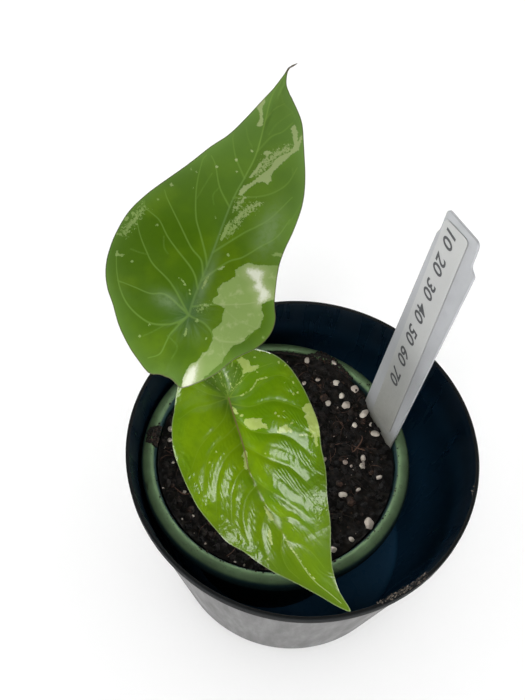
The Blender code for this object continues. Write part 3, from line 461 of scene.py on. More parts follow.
# The newer leaf, more deeply quilted and glossier, with the same settings
NEWER = {
    "node": "leaf_lower",
    "slot": "newer_leaf",
    "attach": (-26.8, -5.7, 126.0),
    "yaw": -48.5,
    "pitch": -16.4,
    "roll": 14.5,
    "length": 77.9,
    "arch": 4.69,
    "base_droop": 0.012,
    "fold": (0.152, 0.224),
    "curl": (0.0078, 0.0070),
    "twist": (0.0032, 0.0009),
    "bulge": (35, 15, (0.14, -1.44)),
    "steep": 0.8,
    "steep_ends": (28, 52),
    "dome": (0.26, 2.8),
    "valley": (0.24, 0.95),
    "groove": 0.07,
    "split": (0.06, 0.8),
    "rib_depths": (0.9, 0.15, -0.3),
    "wrinkle": 0.055,
    "wave": 0.5,
    "wave_length": 21.0,
    "tip_calm": ((42, 54), (1, 0.2)),
    "rib": 1.4,
    "vein_width": 0.40,
    "vein_share": 0.35,
    "margin_share": 0.55,
    "rib_matt": 0.05,
    "streaks": 26.0,
    "painted_sheen_spots": (),
    "outline": (
        (78.5, 0), (71.5, 0), (65, 1.5), (58.5, 4.5), (52.5, 8), (44.5, 11.5),
        (37, 15.5), (30, 18), (23, 21), (15, 22.5), (8.5, 23), (1, 22.5), (-5, 20.5),
        (-9.5, 17), (-13, 13), (-14.5, 8.5), (-17.5, 4.5), (-19, -0.5), (-18.5, -6.5),
        (-15.5, -11), (-11, -14.5), (-5.5, -18), (-0.5, -21.5), (6.5, -24.5),
        (14, -25.5), (21, -26), (27.5, -26), (35, -24.5), (41, -23), (46, -20),
        (50.5, -18), (56, -15), (63.5, -10), (70, -6), (75.5, -2.8),
    ),
    "midrib": (
        (0, 0), (6.5, -1.5), (14, -3), (20, -4.5), (25, -6), (35, -6.8), (47.5, -6.5),
        (60, -6), (65.5, -5), (70.5, -3), (75, -1.4),
    ),
    "veins": (
        ((0, 0), (-1, -6.5), (-2.5, -11.5), (-2, -18)),
        ((0, 0), (5, -4), (7, -8), (8.5, -12.5), (10.5, -17), (15, -22)),
        ((9.5, -2), (11, -6.5), (12, -11), (14.5, -15.5), (18.5, -19), (24, -22.5)),
        ((15.5, -3.5), (17, -9.5), (20, -14), (24, -17.5), (31, -21.5)),
        ((23, -5.5), (24.5, -10), (28, -14), (33, -17), (39.5, -20.5)),
        ((30, -6.8), (32, -11), (36, -14.5), (41.5, -16.5), (47, -17.5)),
        ((38.5, -6.8), (42, -11), (46, -13), (51, -14), (56, -13.5)),
        ((47.5, -6.5), (51.5, -9.5), (57, -10.5), (62, -9)),
        ((0, 0), (-2.5, 6.5), (-3.5, 10.5), (-3.5, 14), (-2.5, 18.5)),
        ((0, 0), (2, 5.5), (1.5, 9), (1, 14.5), (3, 19), (7, 21)),
        ((2, -0.5), (6.5, 4.5), (8, 10), (9.5, 13), (12.5, 16), (16, 18.5), (20, 20)),
        ((7.5, -1.5), (13.5, 1), (17, 4.5), (20, 9), (24.5, 12), (33, 14.5)),
        ((16.5, -3.5), (22.5, 0), (25.5, 2), (28.5, 4.5), (31.5, 6.5), (42, 9.5)),
        ((27, -6.2), (32.5, -4), (36, -2), (40.5, 0), (43.5, 1.5), (51, 4.5)),
        ((37, -6.8), (42.5, -4.5), (44, -2), (48.5, 0.5), (57, 2.5)),
        ((50, -6.5), (52.5, -3.5), (57, -1.5), (63, -0.5)),
        ((0, 0), (-4.5, 1.5), (-9, 2.5), (-15, 3)),
        ((0, 0), (-6, -1.5), (-11, -3.5), (-16, -5)),
        ((0, 0), (-4.5, -5), (-9, -8), (-12.5, -11)),
    ),
    "fine_veins": (),
    "stalk": (
        (-18.5, 10, SOIL_LEVEL - 12), (-18.5, 10, 80), (-19, 8, 95),
        (-22.3, 1.5, 113), (-26.8, -5.7, 125.4),
    ),
    "stalk_radii": (2.3, 1.5),
    "pale_areas": (
        (
            (-10.2, 8.6), (-10.2, 10.8), (-8.8, 11.4), (-7.8, 12.4), (-5.6, 11.8),
            (-4.4, 14), (-3.6, 14.2), (-3.6, 11.2), (-4.2, 8.8), (-3.8, 7.6), (-6, 9),
            (-8.2, 9),
        ),
        (
            (9.6, 0.4), (9.6, 2), (12.4, 6.4), (13, 5.4), (13.8, 5.6), (14.4, 6.4),
            (16.2, 6), (14.6, 3.8), (14.6, 2.4), (13.6, 1), (12.4, 0.4), (11, 0.2),
        ),
        (
            (18.6, 8), (17.8, 9.6), (18, 12), (21, 12.6), (21.2, 11.8), (20.2, 11.4),
            (20.4, 10.6), (19, 8),
        ),
        (
            (15.8, 19.2), (15.2, 20.8), (15.8, 22.6), (18.8, 22.2), (22, 21.6),
            (24.8, 20.8), (27, 19.8), (26.2, 17.6), (24.8, 17.6), (23.8, 17),
            (22, 17.8), (20, 18.4), (18.8, 18), (18.2, 19.2), (16.6, 18.8),
        ),
        ((26.2, 17.6), (26.8, 18.4), (29.2, 17.2), (29.2, 16.4), (27.6, 16.6)),
        ((3, -0.5), (4.2, 0.2), (7, 0.3), (6, -0.8), (4.4, -0.8)),
        (
            (18.2, -3.8), (19.2, -3.6), (22.4, -5.2), (24.2, -6), (24, -7.2),
            (22.2, -6.4), (20.2, -5.4), (19.8, -6.2), (19, -5.4),
        ),
        (
            (36.8, -7.4), (38.2, -7), (40, -6.6), (41.8, -6.6), (42.4, -7.4),
            (42, -8.1), (40.2, -8),
        ),
        ((43.4, -9.2), (44.8, -9.4), (48.8, -11), (48.6, -11.6), (47, -11.3), (44.8, -10.5)),
    ),
    "pale_dots": (
        (7.8, 0.8, 0.5), (10.4, 19, 0.45), (10.6, 20.4, 0.35), (13, 10.6, 0.45),
        (14.4, 11.2, 0.4), (7, 21, 0.35), (5.6, 18.6, 0.3), (18.6, 13.8, 0.4),
        (13.8, 13.2, 0.3), (-7, -7.8, 0.3), (-2.4, 12.6, 0.4), (-1.6, 20.4, 0.45),
        (0.6, 21.8, 0.35), (22.8, 1.4, 0.3), (14.2, -12.2, 0.3), (16, -15.8, 0.4),
        (51.8, -14.4, 0.4), (-8.6, 16.8, 0.5), (-7.6, 14.4, 0.3),
    ),
    # Each line is its points and its half width
    "pale_lines": (
        (((-8.4, 3.2), (-5.2, 3), (-2.2, 2.6)), 0.14),
        (((1.8, 3.8), (1.6, 6.2), (1.6, 8.6), (0, 11.2), (1, 14.6)), 0.24),
        (((-1.6, 2.2), (-2.4, 4.4), (-2.6, 6.6)), 0.16),
        (((23.2, 13.8), (24, 15.6), (25.6, 17.2)), 0.22),
        # This line lies on the midrib near the tip: a painted highlight along its ridge
        (((48.6, -6.6), (52.2, -6.6), (56.6, -5.8), (61.4, -5.6), (64.8, -4.8)), 0.16),
    ),
    "white_areas": (),
    "speckled_areas": (),
    "dark_areas": (
        (
            (-12, -5.2), (-12, 0), (-11, 6.6), (-9.2, 8.6), (-5.6, 8.8), (-3.4, 7.2),
            (-1.6, 4.4), (-1, 1.8), (-1.8, -0.4), (-4.8, -3), (-8, -4.6),
        ),
    ),
}
LEAVES = {"older": OLDER, "newer": NEWER}


def colour(name, description, value):
    """A colour that the user can change, stored as linear red, green and blue."""
    return FloatVectorProperty(
        name=name, description=description, subtype="COLOR", size=3, min=0, max=1,
        default=value,
    )


class PotLook(bpy.types.PropertyGroup):
    """Finishes of the two pots."""

    inside: colour("Cover pot inside", "Dark plastic inside", (0.0030, 0.0121, 0.024))
    outside: colour("Cover pot outside", "Grey plastic outside", (0.039, 0.038, 0.037))
    band: colour("Rim band", "Dark plastic of the rim band", (0.0078, 0.0085, 0.0088))
    nursery: colour("Nursery pot", "Green plastic of the inner pot", (0.120, 0.196, 0.099))
    dust: colour("Dust", "Dry dust on the green rim", (0.16, 0.17, 0.13))
    dirt: colour("Dirt", "Soil smeared on the green rim", (0.02, 0.017, 0.013))
    # Painted shade on the green rim's rolled outer edge, its skirt and the wall below
    painted_rim_shade: colour("Damp edge", "The green rim's wet sides", (0.008, 0.025, 0.032))


class SoilLook(bpy.types.PropertyGroup):
    """How rough and how full of pieces the soil is."""

    spacing: FloatProperty(
        name="Surface spacing", description="Distance between points of the soil's top",
        default=0.60 * MM, min=0.3 * MM, max=3 * MM, subtype="DISTANCE", unit="LENGTH",
    )
    crumbs: IntProperty(
        name="Crumbs", description="Lumps of bark and peat on the soil", default=3200,
        min=0, max=6000,
    )
    fibres: IntProperty(
        name="Fibres", description="Root and coir fibres on the soil", default=300,
        min=0, max=1000,
    )
    darkest: colour("Darkest", "The dampest peat", (0.0033, 0.0029, 0.0027))
    middle: colour("Middle", "Most of the soil", (0.0128, 0.0093, 0.0075))
    lightest: colour("Lightest", "Dry bark and fibre", (0.089, 0.048, 0.033))
    perlite: colour("Perlite", "White grains", (0.620, 0.572, 0.501))
    dulled: colour("Dull perlite", "Grains with a film of soil", (0.17, 0.12, 0.10))
    stained: colour("Stained perlite", "Soil in a grain's pits", (0.20, 0.14, 0.11))
    dry_dark: colour("Dry dirt, dark", "Its darkest crumbs", (0.03, 0.024, 0.02))
    dry_middle: colour("Dry dirt", "Most of it", (0.08, 0.066, 0.053))
    dry_light: colour("Dry dirt, light", "Its palest crumbs", (0.22, 0.19, 0.16))


class LeafLook(bpy.types.PropertyGroup):
    """Finish of one leaf."""

    green: colour("Green", "Most of the blade", (0.036, 0.078, 0.0024))
    fresh: colour("Fresh green", "Its lighter, yellower stretches", (0.053, 0.101, 0.0027))
    # Deep green near the stalk and along the midrib is partly painted shade and painted sheen
    deep: colour("Deep green", "Near the stalk and along the midrib", (0.030, 0.069, 0.0151))
    # Painted sheen on the older leaf's margins and tip, and a duller green there on the newer
    # leaf
    dull_green_and_sheen: colour("Haze", "The duller green of the margins and the tip", (0.083, 0.148, 0.032))
    vein: colour("Veins", "Side veins", (0.101, 0.172, 0.029))
    rib: colour("Midrib", "Middle vein", (0.078, 0.132, 0.034))
    rib_middle: colour("Midrib, middle", "Its olive stretch", (0.110, 0.130, 0.010))
    # Painted sheen: the older leaf's grey streaks round the joint and its grey spots
    painted_sheen_grey: colour("Silver", "Silvery streaks and spots", (0.15, 0.21, 0.11))
    dry_tip: colour("Dry tip", "The brown end of the blade", (0.085, 0.065, 0.045))
    flush: colour("Flush", "Brown of the stalk under the blade", (0.10, 0.060, 0.030))
    pale: colour("Pale patches", "Variegated patches", (0.132, 0.192, 0.054))
    cream: colour("Cream", "The lightest stretches of the patches", (0.218, 0.260, 0.119))
    white: colour("White", "Bleached stretches", (0.410, 0.427, 0.337))
    margin: colour("Margin", "The thin line round the blade", (0.060, 0.050, 0.030))
    under: colour("Underside", "The paler lower face", (0.130, 0.215, 0.070))
    stalk: colour("Stalk", "The stalk", (0.110, 0.170, 0.045))
    roughness: FloatProperty(
        name="Roughness", description="Of the upper face", default=0.36, min=0, max=1,
        subtype="FACTOR",
    )
    gloss: FloatProperty(
        name="Gloss", description="How much light the upper face mirrors", default=0.05,
        min=0, max=1, subtype="FACTOR",
    )


class LabelLook(bpy.types.PropertyGroup):
    """Finishes of the plant label."""

    plastic: colour("Plastic", "The stake", (0.205, 0.210, 0.218))
    film: colour("Film", "The strip on it", (0.239, 0.242, 0.238))
    ink: colour("Ink", "Numerals and marks", (0.0180, 0.0192, 0.022))
    tint: colour("Old soil", "Stain near the soil", (0.065, 0.061, 0.040))


class StageLook(bpy.types.PropertyGroup):
    """Floor, light and camera."""

    floor: colour("Floor", "The pale floor", (0.96, 0.96, 0.96))
    key: FloatProperty(
        name="Key light", description="Power of the soft light in front", default=8.3,
        min=0, max=1000, subtype="POWER", unit="POWER",
    )
    fill: FloatProperty(
        name="Fill", description="Brightness of the surroundings", default=7.9, min=0,
        max=20,
    )
    lens: FloatProperty(
        name="Lens", description="Focal length of the camera", default=42.40, min=10,
        max=200, subtype="DISTANCE_CAMERA",
    )


def look(context, name):
    """One of the property groups of this file."""
    return getattr(context.scene, "alocasia_" + name)


def toned(base, factor):
    """A colour made darker or lighter."""
    return [c * factor for c in base]


def smooth_path(points, step, closed=False):
    """Points about a step apart along a smooth curve through those given."""
    given = np.array(points, float)
    count = len(given)
    spans = count if closed else count - 1
    out = []
    for i in range(spans):
        if closed:
            before, start, end, after = (given[(i + k) % count] for k in (-1, 0, 1, 2))
        else:
            start, end = given[i], given[i + 1]
            before = given[i - 1] if i else 2 * start - end
            after = given[i + 2] if i + 2 < count else 2 * end - start
        pieces = max(1, round(np.linalg.norm(end - start) / step))
        for t in np.arange(pieces) / pieces:
            out.append(
                0.5 * (
                    2 * start + (end - before) * t
                    + (2 * before - 5 * start + 4 * end - after) * t ** 2
                    + (3 * start - 3 * end + after - before) * t ** 3
                )
            )
    if not closed:
        out.append(given[-1])
    return np.array(out)


def path_distance(path, points):
    """How far each point lies from an open path, and how far along it that is."""
    best = np.full(len(points), np.inf)
    run = np.zeros(len(points))
    length = 0.0
    for start, end in zip(path[:-1], path[1:]):
        step = end - start
        size = np.linalg.norm(step)
        if not size:
            continue
        offset = points - start
        t = np.clip(offset @ step / size ** 2, 0, 1)
        gap = np.linalg.norm(offset - t[:, None] * step, axis=1)
        closer = gap < best
        best[closer] = gap[closer]
        run[closer] = length + t[closer] * size
        length += size
    return best, run / length


def inside(outline, points):
    """True for each point inside a closed outline."""
    x, y = points[:, 0], points[:, 1]
    found = np.zeros(len(points), bool)
    for (ax, ay), (bx, by) in zip(outline, np.roll(outline, -1, axis=0)):
        if ay == by:
            continue
        crosses = (ay > y) != (by > y)
        found ^= crosses & (x < (bx - ax) * (y - ay) / (by - ay) + ax)
    return found


def ring(outline):
    """The outline with its first point again at the end."""
    outline = np.array(outline, float)
    return np.vstack([outline, outline[:1]])


def depth_in(points, areas=(), dots=(), lines=()):
    """How deep each point lies in any area, dot or line. Outside it is negative."""
    depth = np.full(len(points), -FAR)
    for area in areas:
        gap, _ = path_distance(ring(area), points)
        signed = np.where(inside(np.array(area, float), points), gap, -gap)
        depth = np.maximum(depth, signed)
    for along, across, radius in dots:
        gap = np.hypot(points[:, 0] - along, points[:, 1] - across)
        depth = np.maximum(depth, radius - gap)
    for line, half in lines:
        gap, _ = path_distance(smooth_path(line, 1.0), points)
        depth = np.maximum(depth, half - gap)
    return depth


def triangulated(outline, paths, spacing):
    """Flat triangles that fill an outline, follow the paths and are about even."""
    low, high = outline.min(axis=0), outline.max(axis=0)
    rows = np.arange(low[1], high[1], spacing * math.sqrt(0.75))
    columns = np.arange(low[0], high[0], spacing)
    x, y = np.meshgrid(columns, rows)
    x[1::2] += spacing / 2
    lattice = np.column_stack([x.ravel(), y.ravel()])
    lattice = lattice[inside(outline, lattice)]
    keep = path_distance(ring(outline), lattice)[0] > 0.55 * spacing
    for path in paths:
        keep &= path_distance(path, lattice)[0] > 0.5 * spacing
    points = list(outline)
    edges = [(i, (i + 1) % len(outline)) for i in range(len(outline))]
    for path in paths:
        first = len(points)
        points.extend(path)
        edges.extend((first + i, first + i + 1) for i in range(len(path) - 1))
    points.extend(lattice[keep])
    found = delaunay_2d_cdt([Vector(p) for p in points], edges, [], 1, 0.02)
    flat = np.array([tuple(p) for p in found[0]])
    faces = np.array([face for face in found[2] if len(face) == 3])
    a, b, c = (flat[faces[:, k]] for k in range(3))
    (abx, aby), (acx, acy) = (b - a).T, (c - a).T
    turn = abx * acy - aby * acx
    faces[turn < 0] = faces[turn < 0][:, ::-1]
    return flat, faces


def border_edges(faces):
    """The directed edges that only one triangle has."""
    directed = {(int(f[k]), int(f[(k + 1) % 3])) for f in faces for k in range(3)}
    return sorted((a, b) for a, b in directed if (b, a) not in directed)


def add_object(name, points, faces, materials, replaces=(), sharp=None, owners=None):
    """A finished piece from points in millimetres, riding on the one body.

    owners gives each face's material, and sharp the angle in degrees above which
    an edge stays sharp. Without it every face is smooth.
    """
    mesh = bpy.data.meshes.new(name)
    mesh.from_pydata((np.asarray(points, float) * MM).tolist(), [], faces)
    for finish in materials:
        mesh.materials.append(finish)
    if owners is not None:
        mesh.polygons.foreach_set("material_index", np.asarray(owners, np.int32))
    mesh.shade_smooth()
    if sharp is not None:
        mesh.set_sharp_from_angle(angle=math.radians(sharp))
    mesh.update()
    obj = bpy.data.objects.new(name, mesh)
    bpy.context.scene.collection.objects.link(obj)
    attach(obj, BODY)
    if replaces:
        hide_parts(*replaces)
    return obj


def set_values(obj, name, values):
    """Stores a number or a vector at each point of the mesh."""
    values = np.asarray(values, np.float32)
    if values.ndim == 2:
        made = obj.data.attributes.new(name, "FLOAT_VECTOR", "POINT")
        made.data.foreach_set("vector", values.ravel())
    else:
        made = obj.data.attributes.new(name, "FLOAT", "POINT")
        made.data.foreach_set("value", values)


class Finish:
    """A material's nodes, with short calls for the ones used here."""

    def __init__(self, name, roughness, specular=0.5):
        self.material = bpy.data.materials.new(name)
        self.material.use_nodes = True
        self.tree = self.material.node_tree
        self.shader = self.tree.nodes["Principled BSDF"]
        self.set("Roughness", roughness)
        self.set("Specular IOR Level", specular)

    def put(self, socket, value):
        """Links a node's output to a socket, or sets the socket to a value."""
        if isinstance(value, bpy.types.NodeSocket):
            self.tree.links.new(value, socket)
        elif hasattr(value, "__len__") and len(value) == 3 and socket.type == "RGBA":
            socket.default_value = (*value, 1.0)
        else:
            socket.default_value = value

    def set(self, name, value):
        """One of the shader's own sockets."""
        self.put(self.shader.inputs[name], value)

    def add(self, kind, values, output=0, **settings):
        """A new node with its sockets filled in. Gives one of its outputs."""
        made = self.tree.nodes.new("ShaderNode" + kind)
        for key, value in settings.items():
            setattr(made, key, value)
        for socket, value in values.items():
            self.put(made.inputs[socket], value)
        return made.outputs[output]

    def value(self, name):
        """A number stored at the points of the mesh."""
        return self.add("Attribute", {}, output="Fac", attribute_name=name)

    def vector(self, name):
        """A vector stored at the points of the mesh."""
        return self.add("Attribute", {}, output="Vector", attribute_name=name)

    def axis(self, place, name):
        """One coordinate of a place: X, Y or Z."""
        return self.add("SeparateXYZ", {0: place}, output=name)

    def position(self):
        """The place on the piece, in millimetres."""
        place = self.add("TexCoord", {}, output="Object")
        return self.add("VectorMath", {0: place, "Scale": 1 / MM}, operation="SCALE")

    def stretched(self, place, scale):
        """The place with each axis scaled, so that noise runs out along one of them."""
        return self.add("VectorMath", {0: place, 1: scale}, operation="MULTIPLY")

    def math(self, operation, first, second=0.0, third=0.0):
        """Arithmetic on one to three numbers or sockets."""
        return self.add("Math", {0: first, 1: second, 2: third}, operation=operation)

    def noise(self, place, size, detail=3.0, roughness=0.5, distortion=0.0):
        """Soft noise from 0 to 1 whose lumps are about the size given."""
        values = {"Vector": place, "Scale": 1 / size, "Detail": detail}
        values.update({"Roughness": roughness, "Distortion": distortion})
        return self.add("TexNoise", values)

    def cells(self, place, size):
        """Distance to the middle of the nearest cell in a pattern of cells."""
        values = {"Vector": place, "Scale": 1 / size}
        return self.add("TexVoronoi", values, output="Distance")

    def rays(self, place, count, run):
        """Noise in streaks that run out from where the stalk meets the blade."""
        heading = self.add("VectorMath", {0: place}, operation="NORMALIZE")
        reach = self.add("VectorMath", {0: place}, output="Value", operation="LENGTH")
        out = self.add("CombineXYZ", {"Z": self.math("MULTIPLY", reach, run)})
        values = {0: heading, 1: (count, count, count), 2: out}
        return self.noise(self.add("VectorMath", values, operation="MULTIPLY_ADD"), 1.0, 2.0)

    def ramp(self, value, low, high, start=0.0, end=1.0):
        """A smooth step: start below the low value, end above the high one."""
        values = {"Value": value, "From Min": low, "From Max": high}
        values.update({"To Min": start, "To Max": end})
        return self.add("MapRange", values, interpolation_type="SMOOTHSTEP")

    def mix(self, share, first, second):
        """A colour between two others: the first at a share of 0, the second at 1."""
        values = {"Factor": share, 6: first, 7: second}
        return self.add("Mix", values, output=2, data_type="RGBA")

    def bump(self, height, depth, under=None):
        """A relief of the given depth in millimetres, on top of another one."""
        values = {"Height": height, "Distance": depth * MM, "Strength": 1.0}
        if under is not None:
            values["Normal"] = under
        return self.add("Bump", values)


def rounded(corners, radii, pieces=5):
    """An outline with each corner cut round by its radius, or kept where that is 0."""
    out = []
    for i, radius in enumerate(radii):
        corner = np.array(corners[i], float)
        if not radius:
            out.append(tuple(corner))
            continue
        before = np.array(corners[i - 1], float) - corner
        after = np.array(corners[(i + 1) % len(corners)], float) - corner
        start = corner + before / np.linalg.norm(before) * radius
        end = corner + after / np.linalg.norm(after) * radius
        for t in np.linspace(0, 1, pieces + 1):
            out.append(tuple((1 - t) ** 2 * start + 2 * t * (1 - t) * corner + t * t * end))
    return out


def lathe(profile, centre, steps):
    """A closed body of revolution from a profile that starts and ends on the axis.

    Also gives, for each face, the number of the profile's stretch that it is on.
    """
    radii, heights = np.array(profile).T
    angles = np.arange(steps) * 2 * math.pi / steps
    inner = len(profile) - 2
    turn = np.column_stack([np.cos(angles), np.sin(angles)])
    points = [(centre[0], centre[1], heights[0])]
    for radius, height in zip(radii[1:-1], heights[1:-1]):
        points.extend((centre[0] + radius * x, centre[1] + radius * y, height) for x, y in turn)
    points.append((centre[0], centre[1], heights[-1]))
    last = len(points) - 1
    faces, owners = [], []
    for k in range(steps):
        after = (k + 1) % steps
        faces.append((0, 1 + k, 1 + after))
        owners.append(0)
        for i in range(inner - 1):
            a, b = 1 + i * steps, 1 + (i + 1) * steps
            faces.append((a + k, b + k, b + after, a + after))
            owners.append(i + 1)
        base = 1 + (inner - 1) * steps
        faces.append((base + k, last, base + after))
        owners.append(inner)
    return points, faces, owners


def tube(path, radii, sides):
    """A closed round tube: its points, its faces, and how far along each point is."""
    count = len(path)
    points, side = [], np.array((0.3, 1.0, 0.2))
    for i, centre in enumerate(path):
        ahead = path[min(i + 1, count - 1)] - path[max(i - 1, 0)]
        ahead = ahead / np.linalg.norm(ahead)
        side = side - ahead * (side @ ahead)
        side /= np.linalg.norm(side)
        across = np.cross(ahead, side)
        for angle in np.arange(sides) * 2 * math.pi / sides:
            out = math.cos(angle) * side + math.sin(angle) * across
            points.append(centre + radii[i] * out)
    faces = [tuple(reversed(range(sides)))]
    for i in range(count - 1):
        for k in range(sides):
            after = (k + 1) % sides
            low, high = i * sides, (i + 1) * sides
            faces.append((low + k, low + after, high + after, high + k))
    faces.append(tuple(range((count - 1) * sides, count * sides)))
    return points, faces, np.repeat(np.arange(count) / (count - 1), sides)


def ball(level):
    """Points and faces of a round ball of triangles, one unit in radius."""
    shape = bmesh.new()
    bmesh.ops.create_icosphere(shape, subdivisions=level, radius=1.0)
    points = np.array([tuple(v.co) for v in shape.verts])
    faces = np.array([[v.index for v in f.verts] for f in shape.faces])
    shape.free()
    return points, faces


def lumps(centres, sizes, level, rough, squat, draw):
    """Many rough lumps at once: points, faces, and the number of each point's lump."""
    points, faces = ball(level)
    count = len(centres)
    turns = np.linalg.qr(draw.normal(size=(count, 3, 3)))[0]
    turns *= np.sign(np.linalg.det(turns))[:, None, None]
    shape = points[None] * draw.uniform(1 - rough, 1 + rough, (count, len(points), 1))
    shape = shape * draw.uniform(0.55, 1.25, (count, 1, 3))
    shape = np.einsum("nij,nkj->nki", turns, shape) * np.asarray(sizes)[:, None, None]
    shape[..., 2] *= squat
    shape += np.asarray(centres)[:, None]
    all_faces = faces[None] + (np.arange(count) * len(points))[:, None, None]
    owner = np.repeat(np.arange(count), len(points))
    return shape.reshape(-1, 3), all_faces.reshape(-1, 3).tolist(), owner


def cover_pot_finishes(pots):
    """Grey outside, near black inside, and a dark rim band."""
    return [cover_outside_finish(pots), cover_inside_finish(pots), cover_band_finish(pots)]


def cover_outside_finish(pots):
    """Grey plastic with faint upright streaks."""
    finish = Finish("cover_pot_outside", 0.42, specular=0.35)
    place = finish.position()
    streaks = finish.noise(finish.stretched(place, (1.0, 1.0, 0.06)), 5.0, 4.0, 0.6)
    cloudy = finish.ramp(finish.noise(place, 26.0, 2.0), 0.35, 0.7, 0, 0.35)
    worn = finish.ramp(streaks, 0.3, 0.75)
    grey = finish.mix(worn, toned(pots.outside, 0.96), pots.outside)
    finish.set("Base Color", finish.mix(cloudy, grey, toned(pots.outside, 1.06)))
    finish.set("Roughness", finish.ramp(streaks, 0.2, 0.8, 0.34, 0.50))
    grain = finish.noise(place, 0.5, 2.0)
    finish.set("Normal", finish.bump(grain, 0.03, finish.bump(streaks, 0.05)))
    return finish.material


def cover_inside_finish(pots):
    """Dark plastic with a little dust on it, painted darker near the rim as shade and lighter
    towards the floor as fill light.
    """
    finish = Finish("cover_pot_inside", 0.30, specular=0.3)
    place = finish.position()
    streaks = finish.noise(finish.stretched(place, (1.0, 1.0, 0.05)), 7.0, 3.0)
    dusty = finish.ramp(finish.noise(place, 1.2, 5.0, 0.7), 0.66, 0.80, 0, 0.03)
    # Painted light: darker near the rim as painted shade, lighter deep down as painted fill
    # light in the gap round the green pot
    deep = finish.ramp(finish.axis(place, "Z"), *COVER_PAINTED_LIGHT_HEIGHTS)
    dark = finish.mix(deep, toned(pots.inside, 0.3), toned(pots.inside, 8.0))
    finish.set("Base Color", finish.mix(dusty, dark, pots.dust))
    finish.set("Roughness", finish.ramp(streaks, 0.3, 0.7, 0.24, 0.38))
    finish.set("Normal", finish.bump(streaks, 0.10))
    return finish.material


def cover_band_finish(pots):
    """Dark plastic of the rim, scuffed along it."""
    finish = Finish("cover_pot_band", 0.5, specular=0.02)
    place = finish.position()
    scuffs = finish.noise(finish.stretched(place, (0.2, 0.2, 1.0)), 0.9, 4.0, 0.65)
    scuffed = finish.ramp(scuffs, 0.60, 0.80, 0, 0.5)
    finish.set("Base Color", finish.mix(scuffed, pots.band, toned(pots.band, 2.4)))
    finish.set("Roughness", finish.ramp(scuffs, 0.3, 0.8, 0.45, 0.62))
    finish.set("Normal", finish.bump(scuffs, 0.03))
    return finish.material


def make_cover_pot(pots):
    """The outer pot: a plain tapered shell with a banded rim."""
    under_band = COVER_HEIGHT - COVER_BAND
    wall_top = COVER_RADIUS - COVER_BAND_STEP
    inner_top = COVER_RADIUS - COVER_LIP_WIDTH
    inner_base = COVER_BASE_RADIUS - COVER_WALL
    corners = (
        (0.0, COVER_FLOOR), (inner_base, COVER_FLOOR),
        (inner_top - COVER_BAND_INSIDE_STEP, under_band), (inner_top, COVER_HEIGHT),
        (COVER_RADIUS, COVER_HEIGHT), (COVER_RADIUS, under_band), (wall_top, under_band),
        (COVER_BASE_RADIUS, 0.0), (0.0, 0.0),
    )
    profile = rounded(corners, COVER_ROUNDINGS)
    points, faces, owners = lathe(profile, (0, 0), TURNED_STEPS)
    heights = [height for _, height in profile]
    lip = next(i for i, height in enumerate(heights) if height > COVER_HEIGHT - COVER_LIP_DEPTH)
    low = under_band - BAND_TOLERANCE
    band_end = next(i for i, height in enumerate(heights) if i > lip and height < low)
    outside, inside_wall, band = range(3)
    kinds = [inside_wall] * lip + [band] * (band_end - lip)
    kinds += [outside] * (len(profile) - band_end)
    add_object(
        "cover_pot_shell", points, faces, cover_pot_finishes(pots),
        ("cover_pot",), sharp=40, owners=[kinds[i] for i in owners],
    )


def nursery_finish(pots):
    """Green moulded plastic with fine scratches, dust and dirt, and painted shade on the rim's
    outer edge and below it.
    """
    finish = Finish("nursery_pot_plastic", 0.55, specular=0.15)
    place = finish.position()
    cloudy = finish.noise(place, 9.0, 3.0)
    worn = finish.ramp(cloudy, 0.35, 0.7)
    green = finish.mix(worn, toned(pots.nursery, 0.82), toned(pots.nursery, 1.15))
    dusty = finish.noise(place, 1.6, 6.0, 0.75)
    green = finish.mix(finish.ramp(dusty, 0.52, 0.74, 0, 0.50), green, pots.dust)
    dirt = finish.noise(place, 5.0, 5.0, 0.7, 0.6)
    green = finish.mix(finish.ramp(dirt, 0.58, 0.74, 0, 0.65), green, pots.dirt)
    # Painted shade: the rim's outer edge and the pot below it turn dark navy
    dry_dirt_and_shade_start, shaded = NURSERY_PAINTED_SHADE
    painted_rim_shade = finish.ramp(finish.axis(place, "Z"), NURSERY_TOP - dry_dirt_and_shade_start, NURSERY_TOP - shaded, 0, 0.95)
    finish.set("Base Color", finish.mix(painted_rim_shade, green, pots.painted_rim_shade))
    finish.set("Roughness", finish.ramp(dusty, 0.3, 0.75, 0.48, 0.70))
    scratches = finish.noise(finish.stretched(place, (0.25, 0.25, 1.0)), 0.6, 3.0, 0.6)
    finish.set("Normal", finish.bump(scratches, 0.03, finish.bump(cloudy, 0.15)))
    return finish.material


def make_nursery_pot(pots):
    """The growing pot, with a rolled rim that overhangs as a skirt, and drain holes."""
    foot, top, wall, base = NURSERY_FOOT, NURSERY_TOP, NURSERY_WALL, NURSERY_BASE_RADIUS
    rim, mouth = NURSERY_RIM_RADIUS, NURSERY_RIM_RADIUS - NURSERY_RIM_WIDTH
    floor = foot + NURSERY_FLOOR
    skirt, under = top - NURSERY_SKIRT, top - ROLL_UNDERSIDE_DROP
    crest_in, crest_drop = ROLL_CREST
    corners = (
        (0.0, floor), (base - wall, floor), (mouth, top - ROLL_MOUTH_DROP),
        (mouth + crest_in, top - crest_drop), (rim - ROLL_SHOULDER, top),
        (rim, top - ROLL_EDGE_DROP), (rim, skirt), (rim - wall, skirt), (rim - wall, under),
        (mouth + 1.5 * wall, under), (mouth + wall, top - ROLL_NECK_DROP), (base, foot),
        (0.0, foot),
    )
    profile = rounded(corners, NURSERY_ROUNDINGS)
    points, faces, _ = lathe(profile, NURSERY_CENTRE, TURNED_STEPS)
    pot = add_object(
        "nursery_pot_shell", points, faces, [nursery_finish(pots)],
        ("nursery_pot",), sharp=45,
    )
    cut_drains(pot)


